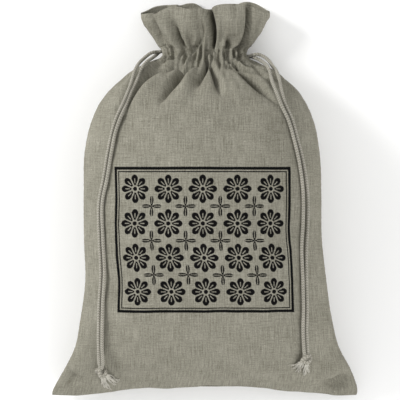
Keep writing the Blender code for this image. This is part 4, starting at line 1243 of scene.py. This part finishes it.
@dataclass
class Panel:
    """One panel of the bag, with its top turned down inside as a deep hem."""

    name: str
    node: str
    side: Side
    bag: FilledBag
    material: bpy.types.Material
    print_y: float = -39.3 * MM
    flat: tuple[float, float] = (300 * MM, 480 * MM)
    stitch_length: float = 2.3 * MM
    stitch_gap: float = 0.9 * MM
    stitch_thick: float = 0.5 * MM

    def rows(self) -> tuple[np.ndarray, np.ndarray, np.ndarray, np.ndarray, np.ndarray]:
        """Give the rows of the cloth, from the bottom seam over the mouth and down the hem.

        Returns:
            Height and inward offset of the inner face's rows, the same of the outer face's, and
            whether each row belongs to the hem.
        """
        heights = [BANDS[0][0] * MM]
        for start, end, rows in BANDS:
            heights.extend(np.linspace(start, end, rows + 1)[1:] * MM)
        heights = np.array(heights)
        hem = heights[heights > CHANNEL_Y - HEM_END][::-1]
        inner_face = CLOTH - OUTER_FACE
        room = inner_face + HEM_GAP + (CHANNEL_DEPTH - HEM_GAP) * self.bag.channel_weight(hem)
        mouth = heights[-1]
        middle = inner_face + HEM_GAP / 2
        turn = HEM_GAP / 2 + CLOTH
        turned = len(MOUTH_TURN)
        inner_y = np.concatenate([heights, np.full(turned, mouth + MOUTH_STEP), hem])
        outer_y = np.concatenate([heights, mouth + turn * np.array(MOUTH_TURN), hem])
        angles = np.cos(np.linspace(*MOUTH_ANGLES, turned) * math.pi)
        inner_off = np.concatenate([0 * heights + inner_face, middle + HEM_GAP / 2 * angles, room])
        outer_off = np.concatenate([0 * heights - OUTER_FACE, middle + turn * angles, room + CLOTH])
        is_hem = np.arange(len(inner_y)) > len(heights) + turned // 2
        return inner_y, inner_off, outer_y, outer_off, is_hem

    def build(self) -> bpy.types.Object:
        """Build the panel as a closed sheet of cloth, with its threads' places as its UV map."""
        inner_y, inner_off, outer_y, outer_off, is_hem = self.rows()
        columns, rows = PANEL_COLUMNS, len(inner_y) - 1
        places = np.linspace(-1, 1, columns + 1)
        inner = self.bag.cloth(places, inner_y, inner_off, is_hem, self.side)
        outer = self.bag.cloth(places, outer_y, outer_off, is_hem, self.side)
        threads = self.thread_places(places, outer_y)
        mesh = bmesh.new()
        bmesh.ops.create_grid(mesh, x_segments=columns, y_segments=rows, size=1)
        row_layer = mesh.verts.layers.int.new("row")
        place_layer = mesh.verts.layers.int.new("place")
        for vert in mesh.verts:
            vert[row_layer] = round((vert.co.y + 1) / 2 * rows)
            vert[place_layer] = round((vert.co.x + 1) / 2 * columns)
        made = bmesh.ops.extrude_face_region(mesh, geom=mesh.faces[:])["geom"]
        raised = {item for item in made if isinstance(item, bmesh.types.BMVert)}
        for vert in mesh.verts:
            points = outer if vert in raised else inner
            vert.co = points[vert[row_layer], vert[place_layer]]
        uv_layer = mesh.loops.layers.uv.new(UV_NAME)
        for face in mesh.faces:
            for loop in face.loops:
                loop[uv_layer].uv = threads[loop.vert[row_layer], loop.vert[place_layer]]
        piece = finish_piece(self.name, mesh, self.material, Slot.LINEN)
        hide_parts(self.node)
        return piece

    def thread_places(self, places: np.ndarray, y: np.ndarray) -> np.ndarray:
        """Measure along the cloth from the middle of the print.

        Args:
            places: places across, from -1 at the left seam to 1 at the right seam.
            y: heights of the rows.

        Returns:
            Each point's place across and along the cloth.
        """
        base, _ = self.bag.smooth_cloth(places, y, self.side, 0 * y)
        steps = np.linalg.norm(np.diff(base, axis=1), axis=2)
        across = np.concatenate([np.zeros((len(y), 1)), np.cumsum(steps, axis=1)], axis=1)
        across -= across[:, len(places) // 2, None]
        climb = np.linalg.norm(np.diff(base[:, len(places) // 2], axis=0), axis=1)
        along = np.concatenate([[0], np.cumsum(climb)])
        rising = np.arange(len(y)) < y.argmax()
        along -= np.interp(self.print_y, y[rising], along[rising])
        return np.stack([across, np.broadcast_to(along[:, None], across.shape)], axis=-1)

    def stitches(self, tree: BVHTree, material: bpy.types.Material) -> bpy.types.Object:
        """Lay the two rows of machine stitches that bound the drawstring channel.

        Args:
            tree: the panel's surface.
            material: the thread.

        Returns:
            The stitches.
        """
        mesh = bmesh.new()
        places = np.linspace(-STITCH_REACH, STITCH_REACH, STITCH_SAMPLES)
        outer, no_hem = np.array([-OUTER_FACE]), np.array([False])
        for row in STITCH_ROWS:
            line = self.bag.cloth(places, np.array([row]), outer, no_hem, self.side)[0]
            run = spaced(line, (self.stitch_length + self.stitch_gap) / 2)
            for start, end in zip(run[0:-1:2], run[1::2]):
                self.stitch(mesh, Vector(start), Vector(end), tree)
        return finish_piece(self.name + "_stitches", mesh, material, Slot.LINEN)

    def stitch(self, mesh: bmesh.types.BMesh, start: Vector, end: Vector, tree: BVHTree) -> None:
        """Add one stitch, a short round thread pressed into the cloth.

        Args:
            mesh: the bmesh that it is added to.
            start: one end of it.
            end: its other end.
            tree: the panel's surface.
        """
        middle = (start + end) / 2
        spot, normal, _, _ = tree.find_nearest(middle)
        heading = (end - start).normalized()
        aside = normal.cross(heading).normalized()
        turn = Matrix((heading, aside, heading.cross(aside))).transposed().to_4x4()
        radius = self.stitch_thick / 2
        size = Matrix.Diagonal((self.stitch_length / 2, radius, radius, 1))
        place = Matrix.Translation(spot + normal * STITCH_SINK)
        bmesh.ops.create_uvsphere(mesh, u_segments=8, v_segments=5, radius=1,
                                  matrix=place @ turn @ size, calc_uvs=False)


def surface_tree(pieces: Sequence[bpy.types.Object]) -> BVHTree:
    """Make a search tree of surfaces.

    Args:
        pieces: the pieces whose surfaces it holds.

    Returns:
        The tree.
    """
    points: list[Vector] = []
    faces: list[list[int]] = []
    for piece in pieces:
        first = len(points)
        points.extend(vert.co.copy() for vert in piece.data.vertices)
        faces.extend([first + index for index in face.vertices] for face in piece.data.polygons)
    return BVHTree.FromPolygons(points, faces)


def ball_height(tree: BVHTree, x: float, y: float, radius: float) -> float:
    """Let a ball rest on the cloth over a point.

    Args:
        tree: the cloth.
        x: the point's place across.
        y: the point's place along.
        radius: the ball's radius.

    Returns:
        The lowest height that its middle can have.
    """
    best = -1.0
    for share in BALL_RINGS:
        for turn in np.linspace(0, TURN, 1 if share == 0 else BALL_TURNS, endpoint=False):
            reach = share * radius
            above = Vector((x + reach * math.cos(turn), y + reach * math.sin(turn), 1.0))
            hit = tree.ray_cast(above, -UP)
            if hit[0] is not None:
                best = max(best, hit[0].z + math.sqrt(radius**2 - reach**2))
    return best


def tube(mesh: bmesh.types.BMesh, path: np.ndarray, radii: np.ndarray, sides: int,
         braid: Braid | None = None, closed: bool = False) -> None:
    """Add a tube along a path, with u once round and v in metres along it.

    Args:
        mesh: the bmesh that it is added to.
        path: points along its middle.
        radii: its radius at each point.
        sides: the number of its sides.
        braid: the stitches that show on it, or None for a plain round one.
        closed: whether its ends meet.
    """
    ahead = unit(np.gradient(path, axis=0))
    if closed:
        ahead[0] = ahead[-1] = unit(path[1] - path[-2])
    aside = np.zeros_like(path)
    aside[0] = unit(np.cross(ahead[0], OFF_PATH))
    for place in range(1, len(path)):
        kept = aside[place - 1] - ahead[place] * np.dot(aside[place - 1], ahead[place])
        aside[place] = unit(kept)
    up = np.cross(ahead, aside)
    run = np.concatenate([[0], np.cumsum(np.linalg.norm(np.diff(path, axis=0), axis=1))])
    slack = 0.0
    if closed:
        twist = np.dot(np.cross(aside[-1], aside[0]), ahead[0])
        slack = math.atan2(twist, np.dot(aside[-1], aside[0]))
    angles = np.linspace(0, TURN, sides + 1)[None, :] + (slack * run / run[-1])[:, None]
    radius = np.repeat(radii[:, None], sides + 1, axis=1)
    if braid is not None:
        whole = run / run[-1] * braid.stitch * round(run[-1] / braid.stitch) if closed else run
        radius = radius * braid.swell(np.linspace(0, TURN, sides + 1)[None, :], whole[:, None])
    points = (path[:, None, :] + radius[..., None] * (np.cos(angles)[..., None] * aside[:, None, :]
                                                      + np.sin(angles)[..., None] * up[:, None, :]))
    known = set(mesh.verts)
    old_faces = set(mesh.faces)
    rows = len(path) - 1
    bmesh.ops.create_grid(mesh, x_segments=sides, y_segments=rows, size=1)
    uv_layer = mesh.loops.layers.uv.verify()
    fresh = [vert for vert in mesh.verts if vert not in known]
    faces = [face for face in mesh.faces if face not in old_faces]
    spots = {vert: (round((vert.co.y + 1) / 2 * rows), round((vert.co.x + 1) / 2 * sides))
             for vert in fresh}
    for face in faces:
        for loop in face.loops:
            row, turn = spots[loop.vert]
            loop[uv_layer].uv = (turn / sides, run[row])
    for vert, (row, turn) in spots.items():
        vert.co = points[row, turn]
    bmesh.ops.remove_doubles(mesh, verts=fresh, dist=MERGE)
    edges = [edge for edge in mesh.edges if edge.is_boundary]
    if edges:
        bmesh.ops.holes_fill(mesh, edges=edges, sides=0)


def tube_mesh() -> bmesh.types.BMesh:
    """Start a bmesh whose tubes keep their UV map under the name that the finishes read."""
    mesh = bmesh.new()
    mesh.loops.layers.uv.new(UV_NAME)
    return mesh


@dataclass(frozen=True)
class Fray:
    """The loose yarns of a frayed end, with the least and the most of what differs between them."""

    count: int = 22
    radius: float = 0.40 * MM
    clearance: float = 0.1 * MM
    root: float = 5.2 * MM
    scatter: float = 1.2 * MM
    spread: float = 0.12
    reach: tuple[float, float] = (0.62, 1.08)
    bend: tuple[float, float] = (-1.6 * MM, 1.6 * MM)
    waves: tuple[float, float] = (1.0, 2.2)
    lift: tuple[float, float] = (0.0, 2.6 * MM)
    arch_start: float = 0.35
    tip_lift: float = 0.3
    sinking: float = 1.6
    taper: tuple[float, float] = (1.2, 0.6)
    points: int = 14
    step: float = 0.6 * MM
    sides: int = 6

    def bunch(self, mesh: bmesh.types.BMesh, chance: np.random.Generator, cloth: BVHTree,
              centre: Vector, heading: Vector, tips: FrayTips) -> None:
        """Add one frayed end.

        Args:
            mesh: the bmesh that it is added to.
            chance: the random draws that make the yarns differ.
            cloth: the cloth that it lies on.
            centre: the middle of the knot.
            heading: the direction that it leaves the knot in.
            tips: where its first and its last yarn would end, in millimetres.
        """
        aside = UP.cross(heading)
        first, last = (Vector((x * MM, y * MM, 0)) for x, y in tips)
        for number in range(self.count):
            share = (number + 0.5) / self.count
            root = centre + heading * self.root + aside * chance.uniform(-self.scatter, self.scatter)
            root.z += chance.uniform(-self.scatter, self.scatter)
            tip = first.lerp(last, share + chance.uniform(-self.spread, self.spread))
            self.yarn(mesh, chance, cloth, root, tip, aside)

    def yarn(self, mesh: bmesh.types.BMesh, chance: np.random.Generator, cloth: BVHTree,
             root: Vector, tip: Vector, aside: Vector) -> None:
        """Add one loose yarn, from its root in the knot towards its tip.

        Args:
            mesh: the bmesh that it is added to.
            chance: the random draws that make the yarns differ.
            cloth: the cloth that it lies on.
            root: where it leaves the knot.
            tip: where it would end if it were straight and of the usual length.
            aside: the direction that it bends in.
        """
        reach = chance.uniform(*self.reach)
        bend = chance.uniform(*self.bend)
        waves = chance.uniform(*self.waves)
        lift = chance.uniform(*self.lift)
        path = []
        for t in np.linspace(0, 1, self.points):
            sway = bend * math.sin(math.pi * t * waves)
            x = root.x + (tip.x - root.x) * t * reach + aside.x * sway
            y = root.y + (tip.y - root.y) * t * reach + aside.y * sway
            ground = ball_height(cloth, x, y, self.radius + self.clearance)
            arch = math.sin(math.pi * (self.arch_start + (1 - self.arch_start) * t))
            rest = ground + lift * arch + self.tip_lift * lift
            sunk = min(1.0, self.sinking * t)
            path.append((x, y, max(ground, root.z * (1 - sunk) + rest * sunk)))
        path = smooth_line(np.array(path), self.step)
        tube(mesh, path, self.radius * np.linspace(*self.taper, len(path)), self.sides)


@dataclass
class Drawstring:
    """One drawstring: its run in the channel, its two free strands and the knot of both ends."""

    label: str
    way: Way
    lane: float
    outer_route: Route
    inner_route: Route
    knot_middle: tuple[float, float]
    fray_tips: tuple[FrayTips, ...]
    bag: FilledBag
    cloth: BVHTree
    material: bpy.types.Material
    yarn: bpy.types.Material
    braid: Braid
    fray: Fray = Fray()
    sides: int = 32
    ring_step: float = 0.5 * MM
    run_points: int = 40
    into_knot: float = 0.6
    knot_radius: float = 5.6 * MM
    knot_ring: float = 2.5 * MM
    knot_thread: float = 1.3 * MM
    knot_length: float = 3.1
    knot_points: int = 260
    knot_thickness: float = 1.1 * CORD

    def channel_run(self) -> np.ndarray:
        """Give the middle of the cord in the channel, from the opening round the neck and back."""
        lane, no_lift = np.array([CHANNEL_Y + self.lane]), np.array([0.0])
        halves = []
        for side in (Side.FRONT, Side.BACK):
            turns = np.linspace(math.asin(CHANNEL_START), -math.pi / 2, self.run_points)
            base, outward = self.bag.smooth_cloth(self.way * np.sin(turns), lane, side, no_lift)
            halves.append((base - outward * CORD_DEPTH)[0])
        return np.concatenate([halves[0], halves[1][-2::-1]])

    def strand_path(self, before: np.ndarray, end: np.ndarray, route: Route) -> np.ndarray:
        """Lay a free strand over the front.

        Args:
            before: the last point but one of its run in the channel.
            end: the last point of that run.
            route: its given route.

        Returns:
            Points along its middle, from the side opening into the knot.
        """
        heading = unit(end - before)
        start = [end, end + heading * STRAIGHT_START]
        spots = []
        for x, y, height in route:
            level = float(self.bag.seam_surface(np.array([x * MM]), np.array([y * MM]))[0])
            spots.append((x * MM, y * MM, level + (height or 0) * MM))
        clear = sum(height is not None for _, _, height in route)
        path = smooth_line(np.array(start + spots), PATH_STEP)
        stands = np.abs(path[:, 1] - spots[clear - 1][1]).argmin()
        wanted = np.array([ball_height(self.cloth, x, y, CORD / 2 + CORD_GAP) for x, y, _ in path])
        wanted[:stands] = np.maximum(wanted[:stands], path[:stands, 2])
        window = 2 * ENVELOPE + 1
        padded = np.pad(wanted, 2 * ENVELOPE, mode="edge")
        highest = np.array([padded[i:i + window].max() for i in range(len(padded) - window + 1)])
        raised = np.convolve(highest, np.ones(window) / window, mode="valid")
        share = np.clip((np.arange(len(path)) - FIXED_START) / ENVELOPE, 0, 1)
        path[:, 2] += (raised - path[:, 2]) * share
        inside = path[-1] + (np.array(self.knot_centre()) - path[-1]) * self.into_knot
        return smooth_line(np.concatenate([path[:-2:3], [path[-1], inside]]), self.ring_step)

    def knot_centre(self) -> Vector:
        """Give the middle of the knot, which lies on the cloth."""
        x, y = (value * MM for value in self.knot_middle)
        return Vector((x, y, ball_height(self.cloth, x, y, self.knot_radius)))

    def heading(self, tips: Sequence[tuple[float, float]]) -> Vector:
        """Find which way some frayed ends lie from the knot.

        Args:
            tips: where they point, in millimetres.

        Returns:
            The level direction towards their middle.
        """
        x, y = (sum(values) / len(tips) * MM for values in zip(*tips))
        way = Vector((x, y, 0)) - self.knot_centre()
        way.z = 0
        return way.normalized()

    def braided(self, name: str, path: np.ndarray, thickness: float = CORD,
                closed: bool = False) -> bpy.types.Object:
        """Braid a piece of cord.

        Args:
            name: the piece's name.
            path: points along its middle.
            thickness: its diameter.
            closed: whether its ends meet.

        Returns:
            The piece.
        """
        mesh = tube_mesh()
        tube(mesh, path, np.full(len(path), thickness / 2), self.sides, self.braid, closed)
        return finish_piece(name, mesh, self.material, Slot.COTTON)

    def build(self) -> list[bpy.types.Object]:
        """Build all of the drawstring's pieces."""
        run = self.channel_run()
        channel = self.braided(self.label + "_cord_in_channel", spaced(run, self.ring_step))
        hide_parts(self.label + "_cord_run")
        knot = self.build_knot()
        frays = self.build_frays()
        pieces = [channel, knot, frays]
        for kind, before, end, route in (("outer", run[1], run[0], self.outer_route),
                                         ("inner", run[-2], run[-1], self.inner_route)):
            path = self.strand_path(before, end, route)
            strand = self.braided(f"{self.label}_{kind}_cord", path)
            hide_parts(f"{self.label}_{kind}_strand")
            length = float(np.linalg.norm(np.diff(path, axis=0), axis=1).sum())
            log.info("%s: %.0f mm long", strand.name, length / MM)
            pieces.append(strand)
        return pieces

    def build_knot(self) -> bpy.types.Object:
        """Build the overhand knot: one thick turn of cord laced through itself."""
        heading = self.heading([tip for tips in self.fray_tips for tip in tips])
        t = np.linspace(0, TURN, self.knot_points)
        reach = self.knot_ring + self.knot_thread * np.cos(3 * t)
        across, up = reach * np.cos(2 * t), reach * np.sin(2 * t)
        along = self.knot_length * self.knot_thread * np.sin(3 * t)
        path = (np.array(self.knot_centre()) + along[:, None] * np.array(heading)
                + across[:, None] * np.array(UP.cross(heading)) + up[:, None] * np.array(UP))
        piece = self.braided(self.label + "_overhand_knot", path, self.knot_thickness, closed=True)
        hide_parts(self.label + "_knot")
        return piece

    def build_frays(self) -> bpy.types.Object:
        """Build the frayed ends: separate yarns that fan out of the knot in two bunches."""
        chance = np.random.default_rng(7 + self.way)
        mesh = tube_mesh()
        for tips in self.fray_tips:
            self.fray.bunch(mesh, chance, self.cloth, self.knot_centre(), self.heading(tips), tips)
        return finish_piece(self.label + "_frayed_ends", mesh, self.yarn, Slot.COTTON)


@dataclass(frozen=True)
class Studio:
    """The pale floor, the soft light from the upper left, and the camera straight above."""

    floor_half: float = 3.0
    floor_drop: float = 0.4 * MM
    floor_colour: tuple[float, float, float, float] = (0.97, 0.97, 0.965, 1)
    seam_height: float = 55 * MM
    camera_distance: float = 4.5
    view_width: float = 388 * MM
    view_middle: tuple[float, float] = (-4.4 * MM, -0.5 * MM)
    sky: float = 0.74
    key_power: float = 146.0
    key_place: tuple[float, float, float] = (-3.4, 1.5, 2.1)
    key_size: float = 1.5
    fill_power: float = 84.0
    fill_place: tuple[float, float, float] = (2.3, -2.5, 2.0)
    fill_size: float = 2.4

    def build(self) -> None:
        """Set up the floor, the lights and the camera."""
        mesh = bmesh.new()
        bmesh.ops.create_grid(mesh, x_segments=1, y_segments=1, size=self.floor_half,
                              matrix=Matrix.Translation(-UP * self.floor_drop))
        data = bpy.data.meshes.new("floor")
        mesh.to_mesh(data)
        mesh.free()
        data.materials.append(NodeTree("pale_floor").finish({
            "Base Color": self.floor_colour,
            "Roughness": 0.9,
            "Specular IOR Level": 0.1,
        }))
        floor = bpy.data.objects.new("floor", data)
        bpy.context.scene.collection.objects.link(floor)
        floor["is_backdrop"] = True
        self.light("key_light", self.key_power, self.key_place, self.key_size)
        self.light("fill_light", self.fill_power, self.fill_place, self.fill_size)
        world = bpy.data.worlds.new("studio")
        world.use_nodes = True
        sky = world.node_tree.nodes["Background"]
        sky.inputs["Color"].default_value = (1, 1, 1, 1)
        sky.inputs["Strength"].default_value = self.sky
        bpy.context.scene.world = world
        bpy.context.scene.view_settings.view_transform = "Standard"
        self.camera()

    def light(self, name: str, power: float, place: tuple[float, float, float], size: float) -> None:
        """Hang a square soft light that shines on the bag.

        Args:
            name: the light's name.
            power: its power in watts.
            place: where it hangs.
            size: the length of its sides.
        """
        lamp = bpy.data.lights.new(name, "AREA")
        lamp.energy = power
        lamp.size = size
        item = bpy.data.objects.new(name, lamp)
        item.location = place
        item.rotation_euler = (-Vector(place)).to_track_quat("-Z", "Y").to_euler()
        bpy.context.scene.collection.objects.link(item)

    def camera(self) -> None:
        """Hang the camera over the bag, looking straight down."""
        lens = bpy.data.cameras.new("camera")
        lens.sensor_width = 36
        lens.lens = lens.sensor_width * self.camera_distance / self.view_width
        lens.clip_end = 20
        item = bpy.data.objects.new("camera", lens)
        item.location = (*self.view_middle, self.seam_height + self.camera_distance)
        bpy.context.scene.collection.objects.link(item)
        bpy.context.scene.camera = item


def main(cad_box: object) -> None:
    """Build the bag's looks round the frame, in order, and report each piece.

    Args:
        cad_box: not used.
    """
    Studio().build()
    bag = FilledBag()
    linen = LinenFinish()
    plain = linen.material("linen_plain")
    braid = Braid()
    cotton = CottonFinish().material("braided_cotton", braid)
    # the loose yarns take the same painted shade, between the plies of a looser twist
    loose_yarn = CottonFinish(colour=(0.56, 0.54, 0.475, 1), dark=(0.26, 0.245, 0.20, 1))
    frayed = loose_yarn.material("frayed_cotton", Braid(columns=2, stitch=1.6 * MM))
    thread = ThreadFinish().material("sewing_thread")
    back = Panel("back_cloth", "back_panel", Side.BACK, bag, plain)
    front = Panel("front_cloth", "front_panel", Side.FRONT, bag,
                  linen.material("linen_printed", RosettePrint()))
    cloths = {}
    for panel in (back, front):
        cloths[panel.name] = panel.build()
        stitches = panel.stitches(surface_tree([cloths[panel.name]]), thread)
    front_tree = surface_tree([cloths["front_cloth"]])
    made_of = (bag, front_tree, cotton, frayed, braid)
    Drawstring("left", Way.LEFT, LANE, LEFT_OUTER_ROUTE, LEFT_INNER_ROUTE,
               LEFT_KNOT, LEFT_FRAYS, *made_of).build()
    Drawstring("right", Way.RIGHT, -LANE, RIGHT_OUTER_ROUTE, RIGHT_INNER_ROUTE,
               RIGHT_KNOT, RIGHT_FRAYS, *made_of).build()


if __name__ == "__main__":
    logging.basicConfig(level=logging.INFO, format="%(name)s %(message)s")
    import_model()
    main(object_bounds())
